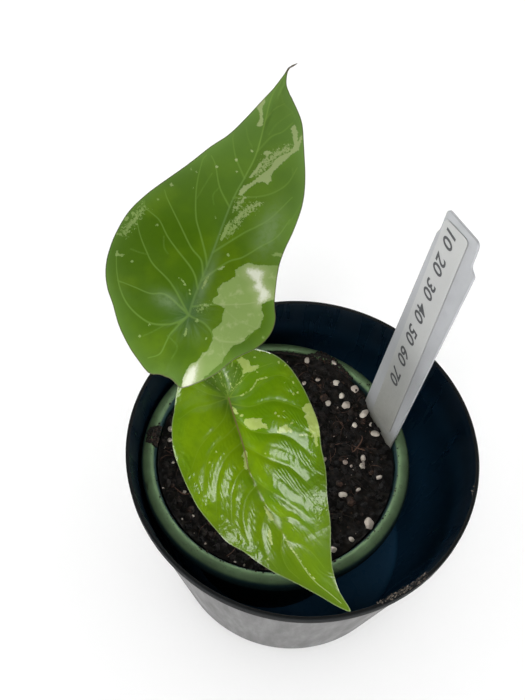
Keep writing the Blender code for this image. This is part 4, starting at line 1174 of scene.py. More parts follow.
def cut_drains(pot):
    """Cuts the ring of drain holes through the growing pot's floor."""
    middle = NURSERY_FOOT + NURSERY_FLOOR / 2
    shape = bmesh.new()
    for i in range(DRAIN_COUNT):
        angle = 2 * math.pi * i / DRAIN_COUNT
        x = NURSERY_CENTRE[0] + DRAIN_RING * math.cos(angle)
        y = NURSERY_CENTRE[1] + DRAIN_RING * math.sin(angle)
        bmesh.ops.create_cone(
            shape, cap_ends=True, segments=DRAIN_SIDES, radius1=DRAIN_RADIUS * MM,
            radius2=DRAIN_RADIUS * MM, depth=4 * NURSERY_FLOOR * MM,
            matrix=Matrix.Translation(Vector((x, y, middle)) * MM),
        )
    cutter_mesh = bpy.data.meshes.new("drains")
    shape.to_mesh(cutter_mesh)
    shape.free()
    cutter = bpy.data.objects.new("drains", cutter_mesh)
    bpy.context.scene.collection.objects.link(cutter)
    cut = pot.modifiers.new("drains", "BOOLEAN")
    cut.object = cutter
    cut.operation = "DIFFERENCE"
    bpy.context.view_layer.update()
    graph = bpy.context.evaluated_depsgraph_get()
    pot.data = bpy.data.meshes.new_from_object(pot.evaluated_get(graph))
    pot.modifiers.clear()
    bpy.data.objects.remove(cutter, do_unlink=True)


def soil_top(x, y, grit=False):
    """Height of the crumbly soil surface."""
    height = SOIL_LEVEL
    for mound_x, mound_y, rise, width in SOIL_MOUNDS:
        height += rise * math.exp(-((x - mound_x) ** 2 + (y - mound_y) ** 2) / width ** 2)
    layers = SOIL_ROUGHNESS + SOIL_GRIT if grit else SOIL_ROUGHNESS
    for wave_length, rise in layers:
        height += rise * noise.noise(Vector((x, y, 0)) / wave_length)
    return height


def soil_finish(name, shades):
    """Peat and bark in three shades from dark to light, each lump with its own tint."""
    finish = Finish(name, 0.85, specular=0.25)
    place = finish.position()
    tint = finish.value("tint")
    mottled = finish.noise(place, 1.4, 6.0, 0.7)
    tint = finish.math("ADD", tint, finish.ramp(mottled, 0.35, 0.75, -0.18, 0.25))
    dark = finish.mix(finish.ramp(tint, 0.05, 0.50), shades[0], shades[1])
    finish.set("Base Color", finish.mix(finish.ramp(tint, 0.55, 1.10), dark, shades[2]))
    finish.set("Roughness", finish.ramp(mottled, 0.3, 0.7, 0.70, 0.95))
    grain = finish.noise(place, 0.35, 4.0, 0.6)
    finish.set("Normal", finish.bump(grain, 0.12))
    return finish.material


def perlite_finish(soil):
    """Chalky white grains with pits and a little soil in them."""
    finish = Finish("perlite_grain", 0.8, specular=0.3)
    place = finish.position()
    pits = finish.cells(place, 0.45)
    stain = finish.ramp(finish.noise(place, 1.3, 5.0, 0.7), 0.50, 0.75, 0, 0.6)
    base = finish.mix(finish.ramp(pits, 0.05, 0.35), toned(soil.perlite, 0.7), soil.perlite)
    base = finish.mix(finish.value("dull"), base, soil.dulled)
    finish.set("Base Color", finish.mix(stain, base, soil.stained))
    finish.set("Normal", finish.bump(pits, 0.08))
    return finish.material


def in_soil(draw, count, edge=SOIL_CLEARANCE):
    """Random places on the soil, none in the pot's wall or in a stalk."""
    reach = (SOIL_RADIUS - edge) * np.sqrt(draw.random(count))
    angle = draw.uniform(0, 2 * math.pi, count)
    x = SOIL_CENTRE[0] + reach * np.cos(angle)
    y = SOIL_CENTRE[1] + reach * np.sin(angle)
    clear = np.ones(count, bool)
    for foot_x, foot_y in STEM_FEET:
        clear &= np.hypot(x - foot_x, y - foot_y) > STALK_CLEARANCE
    return np.column_stack([x, y])[clear]


def mostly_small(draw, count, least, spread, rarity):
    """Random numbers from the least up. The greater the rarity, the fewer are large."""
    return least + spread * draw.random(count) ** rarity


def on_soil(places, lift):
    """The places with their height on the soil, plus a lift for each."""
    heights = np.array([soil_top(x, y) for x, y in places])
    return np.column_stack([places, heights + lift])


def make_soil_bed(soil):
    """The filled pot's soil with a rough, gritty top."""
    spacing = soil.spacing / MM
    steps = round(2 * math.pi * SOIL_RADIUS / spacing)
    angles = np.arange(steps) * 2 * math.pi / steps
    circle = SOIL_CENTRE + SOIL_RADIUS * np.column_stack([np.cos(angles), np.sin(angles)])
    flat, faces = triangulated(circle, [], spacing)
    points = [(x, y, soil_top(x, y, grit=True)) for x, y in flat]
    solid = [tuple(int(i) for i in face) for face in faces]
    floor = SOIL_LOW[2]
    low_radius = NURSERY_BASE_RADIUS - NURSERY_WALL - SOIL_CLEARANCE
    lower = {}
    border = border_edges(faces)
    for start, _ in border:
        outward = (flat[start] - SOIL_CENTRE) / SOIL_RADIUS
        lower[start] = len(points)
        points.append((*(SOIL_CENTRE + outward * low_radius), floor))
    middle = len(points)
    points.append((*SOIL_CENTRE, floor))
    for a, b in border:
        solid += [(b, a, lower[a]), (b, lower[a], lower[b]), (lower[b], lower[a], middle)]
    finish = soil_finish("soil_crumb", (soil.darkest, soil.middle, soil.lightest))
    bed = add_object("soil_bed", points, solid, [finish], ("soil",), sharp=50)
    set_values(bed, "tint", [0.25 + 0.6 * noise.noise(Vector(p) / 2.2) for p in points])
    return finish


def make_crumbs(soil, finish):
    """Lumps of bark and peat lying in the soil's top."""
    draw = np.random.default_rng(SEEDS["crumbs"])
    places = in_soil(draw, soil.crumbs)
    sizes = mostly_small(draw, len(places), least=0.28, spread=1.25, rarity=4.0)
    centres = on_soil(places, 0.25 * sizes)
    points, faces, owner = lumps(centres, sizes, 2, 0.30, 0.75, draw)
    crumbs = add_object("soil_crumbs", points, faces, [finish], sharp=25)
    tint = mostly_small(draw, len(places), least=0.0, spread=0.8, rarity=2.2)
    set_values(crumbs, "tint", tint[owner])


def make_fibres(soil, finish):
    """Fine roots and coir at random, and a few longer curved ones that show."""
    draw = np.random.default_rng(SEEDS["fibres"])
    points, faces, tint = [], [], []

    def lay(flat, radius, shade, lift):
        flat = flat[np.hypot(*(flat - SOIL_CENTRE).T) < SOIL_RADIUS - 0.6]
        if len(flat) < 3:
            return
        rise = lift * np.sin(np.linspace(0, math.pi, len(flat)))
        path = np.array(
            [(x, y, soil_top(x, y) + FIBRE_LIFT + r) for (x, y), r in zip(flat, rise)]
        )
        radii = radius * (0.5 + 0.5 * np.sin(np.linspace(0.3, math.pi - 0.3, len(path))))
        made, made_faces, _ = tube(path, radii, FIBRE_SIDES)
        faces.extend(tuple(k + len(points) for k in face) for face in made_faces)
        points.extend(made)
        tint.extend([shade] * len(made))

    for start in in_soil(draw, soil.fibres, edge=5.0):
        length = draw.uniform(3, 11)
        heading, bend = draw.uniform(0, 2 * math.pi), draw.normal(0, 0.16)
        turn = heading + bend * np.arange(0, length, FIBRE_STEP)
        steps = np.column_stack([np.cos(turn), np.sin(turn)])
        radius, shade = draw.uniform(0.06, 0.17), draw.uniform(0.45, 1.0)
        lay(start + FIBRE_STEP * np.cumsum(steps, axis=0), radius, shade, draw.uniform(0.1, 0.6))
    for route in SHOWN_FIBRES:
        lay(smooth_path(route, 1.0), radius=0.26, shade=1.15, lift=0.8)
    fibres = add_object("soil_fibres", points, faces, [finish])
    set_values(fibres, "tint", tint)


def make_grains(soil):
    """White perlite: the grains that show, more under the leaves, and fine specks."""
    draw = np.random.default_rng(SEEDS["grains"])
    finish = perlite_finish(soil)
    shown = np.array(SHOWN_GRAINS + SMALL_GRAINS)
    hidden = in_soil(draw, HIDDEN_GRAINS, edge=3.0)
    hidden = hidden[hidden[:, 0] < HIDDEN_GRAINS_LIMIT]
    places = np.vstack([shown[:, :2], hidden])
    sizes = np.concatenate([shown[:, 2], draw.uniform(0.8, 1.4, len(hidden))])
    centres = on_soil(places, 0.35 * sizes)
    points, faces, owner = lumps(centres, sizes, 3, 0.0, 0.9, draw)
    rough = np.array([noise.noise(Vector(p) / 1.1) for p in points])
    points = centres[owner] + (points - centres[owner]) * (1 + 0.25 * rough)[:, None]
    grains = add_object("perlite_grains", points, faces, [finish])
    small = np.where(sizes < 1.15, 0.25, 0)
    dull = np.clip(draw.uniform(0.1, 0.6, len(sizes)) + small, 0, 0.8)
    set_values(grains, "dull", dull[owner])
    specks = in_soil(draw, SPECKS)
    sizes = mostly_small(draw, len(specks), least=0.15, spread=0.35, rarity=3)
    centres = on_soil(specks, 0.5 * sizes + 0.25)
    points, faces, owner = lumps(centres, sizes, 1, 0.25, 0.8, draw)
    fine = add_object("perlite_specks", points, faces, [finish], sharp=25)
    set_values(fine, "dull", draw.uniform(0.4, 0.9, len(sizes))[owner])


def make_spilled_soil(soil, finish):
    """Damp soil that lies over the green rim, and drier dirt at the cover pot's rim."""
    draw = np.random.default_rng(SEEDS["spill"])
    centres, sizes = [], []

    def place_crumb(centre, angle, reach, height, size):
        x = centre[0] + reach * math.cos(angle)
        y = centre[1] + reach * math.sin(angle)
        centres.append((x, y, height))
        sizes.append(size)

    def heap(border, count, biggest):
        angles, reaches = np.array(border).T
        for angle in draw.uniform(angles[0], angles[-1], count):
            outer = np.interp(angle, angles, reaches)
            size = mostly_small(draw, None, least=0.22, spread=biggest, rarity=2.0)
            reach = draw.uniform(mouth - 0.5, max(outer - 0.5 * size, mouth))
            share = min(1.0, max(0.0, (reach - mouth) / RIM_HEAP_WIDTH))
            height = NURSERY_TOP - 0.9 + 0.6 * math.sin(math.pi * share) + 0.5 * size
            place_crumb(NURSERY_CENTRE, math.radians(angle), reach, height, size)

    def dust(centre, radius, height, arc, count, spread, biggest, slope=0.0):
        for angle in np.radians(draw.uniform(*arc, count)):
            out = draw.normal(0, spread)
            size = mostly_small(draw, None, least=0.12, spread=biggest, rarity=2.5)
            low = height + slope * min(out, 0) + 0.3 * size
            place_crumb(centre, angle, radius + out, low, size)

    def lay(name, material, shade):
        points, faces, owner = lumps(np.array(centres), sizes, 1, 0.3, 0.7, draw)
        made = add_object(name, points, faces, [material], sharp=25)
        tint = mostly_small(draw, len(sizes), least=shade, spread=0.7, rarity=1.5)
        set_values(made, "tint", tint[owner])
        centres.clear()
        sizes.clear()

    mouth = NURSERY_RIM_RADIUS - NURSERY_RIM_WIDTH
    inner = COVER_RADIUS - COVER_LIP_WIDTH
    green, dark, all_round = NURSERY_CENTRE, (0, 0), (0, 360)
    heap(RIM_HEAP, count=900, biggest=0.55)
    heap(RIM_BRIDGE, count=520, biggest=0.50)
    dust(green, mouth + 0.8, NURSERY_TOP - 0.6, all_round, count=240, spread=0.5, biggest=0.35)
    dust(green, mouth + 2.4, NURSERY_TOP, (20, 66), count=60, spread=1.2, biggest=0.30)
    lay("spilled_soil", finish, 0.15)
    dust(
        dark, inner - 0.5, COVER_HEIGHT - 1.6, (301, 320), count=230, spread=0.45,
        biggest=0.40, slope=2.2,
    )
    dust(dark, COVER_RADIUS - 0.7, COVER_HEIGHT, (302, 319), count=60, spread=0.25, biggest=0.28)
    dust(dark, inner - 0.2, COVER_HEIGHT - 0.8, (350, 356), count=5, spread=0.1, biggest=0.5)
    dust(green, mouth + 2.6, NURSERY_TOP, all_round, count=150, spread=1.0, biggest=0.10)
    dry_dirt_and_shade_start = (soil.dry_dark, soil.dry_middle, soil.dry_light)
    lay("dry_dirt", soil_finish("dry_dirt", dry_dirt_and_shade_start), 0.2)


def leaf_axes(leaf):
    """Unit vectors along the leaf, to its left, and out of its upper face."""
    yaw, pitch, roll = (math.radians(leaf[key]) for key in ("yaw", "pitch", "roll"))
    along = np.array(
        (math.cos(pitch) * math.cos(yaw), math.cos(pitch) * math.sin(yaw), math.sin(pitch))
    )
    level = np.cross((0, 0, 1), along)
    level /= np.linalg.norm(level)
    left = level * math.cos(roll) + np.cross(along, level) * math.sin(roll)
    return along, left, np.cross(along, left)


def sheet_height(leaf, along, across):
    """The smooth bend of a blade above the plane through its stalk and tip.

    The blade folds along its midrib, and from there each side curls down.
    """
    across = across - np.interp(along, *np.array(leaf["midrib"]).T)
    fold, curl, twist, end = (
        np.where(across < 0, *leaf[key]) for key in ("fold", "curl", "twist", "steep_ends")
    )
    slope = 4 * leaf["arch"] / leaf["length"]
    bend = np.where(
        along > 0,
        slope * along * (1 - along / leaf["length"]),
        slope * along - leaf["base_droop"] * along ** 2,
    )
    spread = np.sqrt(across ** 2 + FOLD_SOFTNESS ** 2) - FOLD_SOFTNESS
    fold = fold + TWIST_REACH * np.tanh((along - TWIST_MIDDLE) / TWIST_REACH) * twist
    steep = leaf["steep"] * (1 - np.exp(-((across / STEEP_WIDTH) ** 2)))
    steep = steep * np.clip((end - along) / STEEP_FADE, 0, 1)
    middle, reach, rise = leaf["bulge"]
    bulge = np.where(across < 0, *rise) * np.exp(-(((along - middle) / reach) ** 2))
    bulge *= 1 - np.exp(-((across / BULGE_WIDTH) ** 2))
    return bend + fold * spread - curl * across ** 2 + steep + bulge


def blade_fields(leaf, outline, midrib, veins, flat):
    """What the shape and the finish have to know at each point of a blade.

    Gaps and depths have a row for the midrib and each vein. The other distances are
    to the nearest of what they name, and lines grow wider towards a vein's tip.
    """
    to_midrib, rib_run = path_distance(midrib, flat)
    gaps, lines = [to_midrib], []
    depths = [np.interp(rib_run, RIB_DEPTH_RUNS, leaf["rib_depths"])]
    for vein in veins:
        gap, run = path_distance(vein, flat)
        gaps.append(gap)
        lines.append(gap / (1 - VEIN_TAPER * run))
        depths.append(1 - run ** 2)
    nearest, second = np.sort(gaps, axis=0)[:2]
    fine = [path_distance(smooth_path(vein, 1.0), flat)[0] for vein in leaf["fine_veins"]]
    return {
        "edge": path_distance(ring(outline), flat)[0],
        "midrib": to_midrib,
        "rib_run": rib_run,
        "rib_line": to_midrib / (1 - RIB_TAPER * rib_run),
        "gaps": np.array(gaps),
        "depths": np.array(depths),
        "vein": np.min(gaps[1:], axis=0),
        "line": np.min(lines, axis=0),
        "fine": np.min([np.full(len(flat), FAR), *fine], axis=0),
        "ripple": RIPPLE_SLANT * to_midrib - RIPPLE_BEND * nearest ** 2,
        "clear": nearest,
        "second": second,
        "pale": depth_in(flat, leaf["pale_areas"], leaf["pale_dots"], leaf["pale_lines"]),
        "white": depth_in(flat, leaf["white_areas"]),
        "speckled": depth_in(flat, leaf["speckled_areas"]),
        "dark": depth_in(flat, leaf["dark_areas"]),
    }


def hollow(fields, width):
    """How far down in the valleys of the veins each point lies, from 0 to 1."""
    total = (fields["depths"] * np.exp(-((fields["gaps"] / width) ** 2))).sum(axis=0)
    return 1 - np.exp(-HOLLOW_STRENGTH * total)


def wrinkle(u, v):
    """Fine creases in two sizes at a place on the blade."""
    long, short = WRINKLE_LENGTHS
    first, second = WRINKLE_LAYERS
    broad = noise.noise(Vector((u / long, v / long, first)))
    return broad + 0.5 * noise.noise(Vector((u, v, second)) / short)


def upper_face(leaf, flat, fields):
    """Height of the blade's upper face: bend, puffs between veins, creases and waves."""
    along, across = flat[:, 0], flat[:, 1]
    edge, rib, nearest, second = (
        fields[key] for key in ("edge", "midrib", "clear", "second")
    )
    tip = np.interp(along, *leaf["tip_calm"])
    calm = np.clip(edge / QUILT_MARGIN, 0, 1) * tip
    height = sheet_height(leaf, along, across)
    for depth, width in (leaf["dome"], leaf["valley"]):
        height = height - depth * calm * hollow(fields, width)
    height -= leaf["groove"] * hollow(fields, GROOVE_WIDTH)
    depth, width = leaf["split"]
    away = 1.0
    for gap, (start, reach) in ((nearest, SPLIT_FROM_VEIN), (rib, SPLIT_FROM_RIB)):
        away = away * np.clip((gap - start) / reach, 0, 1)
    height -= depth * away * calm * np.exp(-(((second - nearest) / width) ** 2))
    rough = np.array([wrinkle(u, v) for u, v in flat])
    lively = np.clip(nearest / WRINKLE_FROM_VEIN, 0, 1)
    lively = lively * (1 + MARGIN_LIVELINESS * np.exp(-edge / MARGIN_LIVELY_REACH))
    height += leaf["wrinkle"] * calm * lively * rough
    phase = 2 * math.pi * along / leaf["wave_length"] + np.where(across > 0, *WAVE_PHASES)
    return height + leaf["wave"] * tip * np.exp(-edge / WAVE_REACH) * np.sin(phase)


def leaf_greens(finish, leaf, style):
    """The green parts of an upper face. Also gives its vein lines and its mottling."""
    place = finish.vector("place")
    sideways = finish.ramp(finish.axis(place, "Y"), -10, 10, 0.08, -0.08)
    warm = finish.math("ADD", finish.noise(place, 15.0, 2.0), sideways)
    green = finish.mix(finish.ramp(warm, 0.38, 0.62), style.green, style.fresh)
    mottled = finish.noise(place, 2.6, 4.0, 0.6)
    blotch = finish.ramp(mottled, 0.42, 0.72, 0, 0.25)
    green = finish.mix(blotch, green, toned(style.green, 0.75))
    # Painted sheen, and a duller green, at the margins and the tip
    green = finish.mix(finish.value("dull_green_and_sheen"), green, style.dull_green_and_sheen)
    # Painted shade and sheen near the joint and along the midrib
    green = finish.mix(finish.value("shade"), green, style.deep)
    width = leaf["vein_width"]
    line = finish.ramp(finish.value("line"), width, 0.12 * width, 0, leaf["vein_share"])
    fine = finish.ramp(finish.value("fine"), 0.7 * width, 0.05, 0, 0.30)
    line = finish.math("MAXIMUM", line, fine)
    return finish.mix(line, green, style.vein), line, mottled


def dark_flecked(finish, leaf, style, green):
    """The newer leaf's darker stretch at the joint, broken up by pale flecks."""
    place = finish.vector("place")
    dark = finish.ramp(finish.value("dark"), -0.6, 0.8, 0, 0.75)
    green = finish.mix(dark, green, style.deep)
    near = finish.ramp(finish.value("dark"), -1.5, 1.0)
    rays = finish.rays(place, leaf["streaks"], 0.16)
    fleck = finish.math("MULTIPLY", near, finish.ramp(rays, 0.55, 0.62, 0, 0.9))
    broken = finish.ramp(finish.noise(place, 2.2, 4.0, 0.7), 0.46, 0.58)
    return finish.mix(finish.math("MULTIPLY", fleck, broken), green, style.pale)


def painted_sheen_streaks(finish, leaf, style, green, mottled):
    """Painted sheen on the older leaf: grey streaks round the joint and grey spots."""
    near = finish.ramp(finish.value("reach"), 13.0, 2.0, 0, 0.22)
    rays = finish.rays(finish.vector("place"), leaf["streaks"], 0.16)
    streak = finish.math("MULTIPLY", near, finish.ramp(rays, 0.40, 0.75))
    soft = finish.ramp(mottled, 0.3, 0.6, 0.5, 1.0)
    spot = finish.math("MULTIPLY", finish.value("painted_sheen_spot"), soft)
    return finish.mix(finish.math("MAXIMUM", streak, spot), green, style.painted_sheen_grey)


def leaf_patches(finish, style, line):
    """The colour of the pale patches, and how much of it shows at each place."""
    place = finish.vector("place")
    fine = finish.noise(place, 0.9, 5.0, 0.75)
    ragged = finish.math("MULTIPLY_ADD", fine, 2.0, -1.0)
    pale = finish.ramp(finish.math("ADD", finish.value("pale"), ragged), -0.06, 0.08)
    spread = finish.math("MULTIPLY_ADD", fine, 13.0, -6.8)
    speck = finish.ramp(finish.math("ADD", finish.value("speckled"), spread), 0.0, 0.5, 0, 0.9)
    white = finish.value("white")
    lighter = finish.noise(place, 3.4, 4.0, 0.6)
    cream = finish.ramp(lighter, 0.50, 0.72, 0, 0.60)
    cream = finish.math("MAXIMUM", finish.ramp(white, -3.0, 0.4, 0, 0.55), cream)
    towards_tip = finish.ramp(finish.axis(place, "X"), 25, 48, 0, 0.60)
    cream = finish.math("MAXIMUM", cream, towards_tip)
    patch = finish.mix(cream, style.pale, style.cream)
    patch = finish.mix(finish.math("MULTIPLY", line, 0.6), patch, style.cream)
    white_edge = finish.math("ADD", white, finish.math("MULTIPLY_ADD", fine, 3.0, -1.6))
    patch = finish.mix(finish.ramp(white_edge, -0.7, 1.3), patch, style.white)
    return patch, finish.math("MAXIMUM", pale, speck)


def newer_midrib(finish, style, base, rib):
    """Lays the midrib on: reddish at the joint, then olive, and cream near the tip as a painted
    highlight along its ridge.
    """
    run = finish.value("rib_run")
    brown = finish.mix(finish.ramp(run, 0.26, 0.36), style.rib, style.rib_middle)
    # Cream near the tip is a painted highlight on the midrib's ridge
    hue = finish.mix(finish.ramp(run, 0.60, 0.72), brown, style.cream)
    thinning = finish.ramp(run, 0.30, 0.42, 1, 0.55)
    return finish.mix(finish.math("MULTIPLY", rib, thinning), base, hue)


def older_midrib(finish, style, base, rib, patched):
    """Lays the midrib on, fainter where a pale patch crosses it, and browns the tip."""
    run = finish.value("rib_run")
    hue = finish.mix(finish.ramp(run, 0.3, 0.65), style.rib, toned(style.vein, 1.1))
    rib = finish.math("MULTIPLY", rib, finish.ramp(patched, 0, 1, 0.8, 0.2))
    base = finish.mix(rib, base, hue)
    along = finish.axis(finish.vector("place"), "X")
    return finish.mix(finish.ramp(along, 94.0, 96.5), base, style.dry_tip)


def newer_relief(finish, relief):
    """Fine ripples between the veins, and a crinkled margin that calms at the tip."""
    place = finish.vector("place")
    waves = finish.math("MULTIPLY", finish.value("ripple"), 2 * math.pi / RIPPLE_LENGTH)
    swing = finish.math("MULTIPLY_ADD", finish.noise(place, 2.6, 2.0), 6.0, waves)
    uneven = finish.ramp(finish.noise(place, 9.0, 1.0), 0.38, 0.58, 0.25, 1.0)
    share = finish.math("MULTIPLY", finish.ramp(finish.value("clear"), 0.4, 1.5), uneven)
    ripples = finish.math("MULTIPLY", finish.math("SINE", swing), share)
    relief = finish.bump(ripples, 0.013, relief)
    before_tip = finish.ramp(finish.axis(place, "X"), 58, 46)
    near = finish.math("MULTIPLY", finish.ramp(finish.value("edge"), 8.0, 1.0), before_tip)
    crinkled = finish.math("MULTIPLY", finish.noise(place, 2.0, 2.0, 0.5), near)
    return finish.bump(crinkled, 0.24, relief)


def leaf_top_finish(name, leaf, style, newer):
    """The upper face: greens, veins, pale patches, midrib, margin and fine relief."""
    finish = Finish(name, style.roughness, specular=style.gloss)
    place = finish.vector("place")
    relief = finish.bump(finish.noise(place, 0.28, 2.0, 0.5), 0.002)
    green, line, mottled = leaf_greens(finish, leaf, style)
    patch, patched = leaf_patches(finish, style, line)
    rib = finish.ramp(finish.value("rib_line"), leaf["vein_width"], 0.15, 0, 0.80)
    if newer:
        green = dark_flecked(finish, leaf, style, green)
        base = newer_midrib(finish, style, finish.mix(patched, green, patch), rib)
        relief = newer_relief(finish, relief)
    else:
        green = painted_sheen_streaks(finish, leaf, style, green, mottled)
        base = older_midrib(finish, style, finish.mix(patched, green, patch), rib, patched)
        relief = finish.bump(finish.noise(place, 1.6, 3.0, 0.6), 0.03, relief)
    edge = finish.ramp(finish.value("edge"), 0.40, 0.12, 0, leaf["margin_share"])
    finish.set("Base Color", finish.mix(edge, base, style.margin))
    soft = style.roughness
    glossy = finish.ramp(mottled, 0.3, 0.7, soft * 0.88, soft * 1.15)
    dull = finish.ramp(finish.value("rib_line"), 1.2, 0.4, 0, leaf["rib_matt"])
    finish.set("Roughness", finish.math("ADD", glossy, dull))
    finish.set("Normal", relief)
    return finish.material


def leaf_under_finish(name, style):
    """The lower face: paler, matt, with raised veins a little lighter."""
    finish = Finish(name, 0.55)
    place = finish.vector("place")
    mottled = finish.noise(place, 3.0, 4.0, 0.6)
    worn = finish.ramp(mottled, 0.3, 0.7)
    green = finish.mix(worn, toned(style.under, 0.85), style.under)
    line = finish.ramp(finish.value("line"), 0.9, 0.2, 0, 0.6)
    green = finish.mix(line, green, toned(style.under, 1.5))
    pale = finish.ramp(finish.value("pale"), -0.3, 0.3, 0, 0.7)
    finish.set("Base Color", finish.mix(pale, green, toned(style.pale, 1.2)))
    finish.set("Normal", finish.bump(finish.noise(place, 0.4, 3.0), 0.03))
    return finish.material


def stalk_finish(name, style):
    """A smooth juicy stalk, flushed brown towards the blade."""
    finish = Finish(name, 0.35)
    place = finish.position()
    streaks = finish.noise(finish.stretched(place, (1.0, 1.0, 0.15)), 0.8, 4.0, 0.6)
    worn = finish.ramp(streaks, 0.35, 0.7)
    green = finish.mix(worn, toned(style.stalk, 0.75), style.stalk)
    flushed = finish.ramp(finish.value("reach"), 0.72, 1.0, 0, 0.55)
    finish.set("Base Color", finish.mix(flushed, green, style.flush))
    finish.set("Roughness", finish.ramp(streaks, 0.3, 0.7, 0.28, 0.42))
    finish.set("Normal", finish.bump(streaks, 0.06))
    return finish.material


def lower_face(leaf, flat, fields, top):
    """Height of the blade's lower face: a thin margin, ribs and the swell at the joint."""
    fade = np.clip(1 - flat[:, 0] / leaf["length"], RIB_AT_TIP, 1)
    rib = leaf["rib"] * fade * np.exp(-((fields["midrib"] / RIB_WIDTH) ** 2))
    side_rib = SIDE_RIB * np.exp(-((fields["vein"] / RIB_WIDTH) ** 2))
    swell = JOINT_SWELL * np.exp(-(flat ** 2).sum(axis=1) / JOINT_REACH ** 2)
    thickness = np.clip(MARGIN_THICKNESS + fields["edge"] / MARGIN_REACH, 0, 1)
    return top - BLADE_THICKNESS * thickness - np.maximum(rib, side_rib) - swell


def tints(leaf, flat, fields):
    """How much of each tint lies at each point of a blade, and how far the joint is."""
    along, across = flat[:, 0], flat[:, 1]
    reach = np.hypot(along, across)
    # Painted shade and sheen near the joint and along the midrib's groove, over a deeper green
    shade = 0.75 * np.exp(-((reach / 6.0) ** 2))
    beside_rib = np.exp(-((fields["midrib"] / 1.8) ** 2))
    shade += 0.42 * beside_rib * np.clip(1 - along / 60, 0, 1)
    # Painted sheen at the margins and towards the tip, a duller green on the newer leaf
    dull_green_and_sheen = 0.60 * np.exp(-fields["edge"] / 2.6)
    dull_green_and_sheen += 0.55 * np.clip((along - 25) / 45, 0, 1)
    # Spots of painted sheen
    painted_sheen_spot = np.zeros(len(flat))
    for u, v, length, width, strength in leaf["painted_sheen_spots"]:
        spot = ((along - u) / length) ** 2 + ((across - v) / width) ** 2
        painted_sheen_spot += strength * np.exp(-spot)
    return {"shade": np.clip(shade, 0, 0.9), "reach": reach, "dull_green_and_sheen": dull_green_and_sheen, "painted_sheen_spot": painted_sheen_spot}


def make_blade(key, style):
    """A thin closed leaf with its quilting, grooves and a rib below."""
    leaf = LEAVES[key]
    outline = smooth_path(leaf["outline"], BLADE_SPACING, closed=True)
    midrib = smooth_path(leaf["midrib"], BLADE_SPACING)
    veins = [smooth_path(vein, BLADE_SPACING) for vein in leaf["veins"]]
    flat, faces = triangulated(outline, [midrib, *veins], BLADE_SPACING)
    fields = blade_fields(leaf, outline, midrib, veins, flat)
    fields.update(tints(leaf, flat, fields))
    top = upper_face(leaf, flat, fields)
    bottom = lower_face(leaf, flat, fields, top)
    along, left, out = leaf_axes(leaf)
    plane = np.array(leaf["attach"]) + flat[:, :1] * along + flat[:, 1:] * left
    points = np.vstack([plane + top[:, None] * out, plane + bottom[:, None] * out])
    count = len(flat)
    border = border_edges(faces)
    solid = [tuple(int(i) for i in face) for face in faces]
    solid += [tuple(int(i) + count for i in reversed(face)) for face in faces]
    solid += [(b, a, a + count, b + count) for a, b in border]
    owners = [0] * len(faces) + [1] * len(faces) + [0] * len(border)
    name = leaf["node"]
    materials = [
        leaf_top_finish(name + "_top", leaf, style, key == "newer"),
        leaf_under_finish(name + "_underside", style),
    ]
    blade = add_object(
        name + "_blade", points, solid, materials, (name,), sharp=70,
        owners=owners,
    )
    for field in STORED_FIELDS:
        set_values(blade, field, np.tile(fields[field], 2))
    set_values(blade, "place", np.tile(np.column_stack([flat, np.zeros(count)]), (2, 1)))


def make_stalk(key, style):
    """The stalk from the soil to the underside of its blade."""
    leaf = LEAVES[key]
    route = [np.array(point, float) for point in leaf["stalk"]]
    route[-1] = route[-1] - leaf_axes(leaf)[2] * STALK_SINK
    path = smooth_path(route, STALK_STEP)
    start, end = leaf["stalk_radii"]
    reach = np.linspace(0, 1, len(path))
    collar = STALK_COLLAR * np.exp(-((1 - reach) / STALK_COLLAR_REACH) ** 2)
    radii = start + (end - start) * reach + collar
    points, faces, along = tube(path, radii, STALK_SIDES)
    name = leaf["node"] + "_stalk"
    stalk = add_object(name, points, faces, [stalk_finish(name, style)], sharp=60)
    set_values(stalk, "reach", along)


def label_matrix():
    """From the label's own millimetres (across, up, out of its face) to the scene's."""
    up = Vector(LABEL_UP).normalized()
    across = Vector(LABEL_ACROSS)
    across = (across - up * across.dot(up)).normalized()
    out = across.cross(up)
    turn = Matrix((across, up, out)).transposed().to_4x4()
    return Matrix.Translation(Vector(LABEL_FOOT)) @ turn


def bevelled_plate(outline, low, high, width):
    """Points and faces of a flat plate with softened edges, given in the label's own axes."""
    shape = bmesh.new()
    corners = [shape.verts.new((x, y, low)) for x, y in outline]
    shape.faces.new(list(reversed(corners)))
    grown = bmesh.ops.extrude_face_region(shape, geom=list(shape.faces))
    lifted = [v for v in grown["geom"] if isinstance(v, bmesh.types.BMVert)]
    bmesh.ops.translate(shape, verts=lifted, vec=(0, 0, high - low))
    bmesh.ops.recalc_face_normals(shape, faces=list(shape.faces))
    rims = [e for e in shape.edges if abs(e.verts[0].co.z - e.verts[1].co.z) < 1e-6]
    bmesh.ops.bevel(shape, geom=rims, offset=width, segments=3, profile=0.5, affect="EDGES")
    place = label_matrix()
    points = [tuple(place @ v.co) for v in shape.verts]
    shape.verts.index_update()
    faces = [tuple(v.index for v in f.verts) for f in shape.faces]
    shape.free()
    return points, faces


def label_plastic_finish(style):
    """Thin white plastic with a fine grain, stained near the soil."""
    finish = Finish("label_plastic", 0.42)
    place = finish.position()
    height = finish.axis(place, "Z")
    cloudy = finish.noise(place, 4.0, 4.0, 0.6)
    ragged = finish.math("MULTIPLY_ADD", cloudy, 9.0, height)
    stain = finish.ramp(ragged, SOIL_LEVEL + 15, SOIL_LEVEL + 4, 0, 0.75)
    worn = finish.ramp(cloudy, 0.3, 0.7)
    white = finish.mix(worn, toned(style.plastic, 0.93), style.plastic)
    finish.set("Base Color", finish.mix(stain, white, style.tint))
    finish.set("Roughness", finish.ramp(cloudy, 0.3, 0.7, 0.36, 0.50))
    finish.set("Normal", finish.bump(finish.noise(place, 0.4, 2.0), 0.02))
    return finish.material


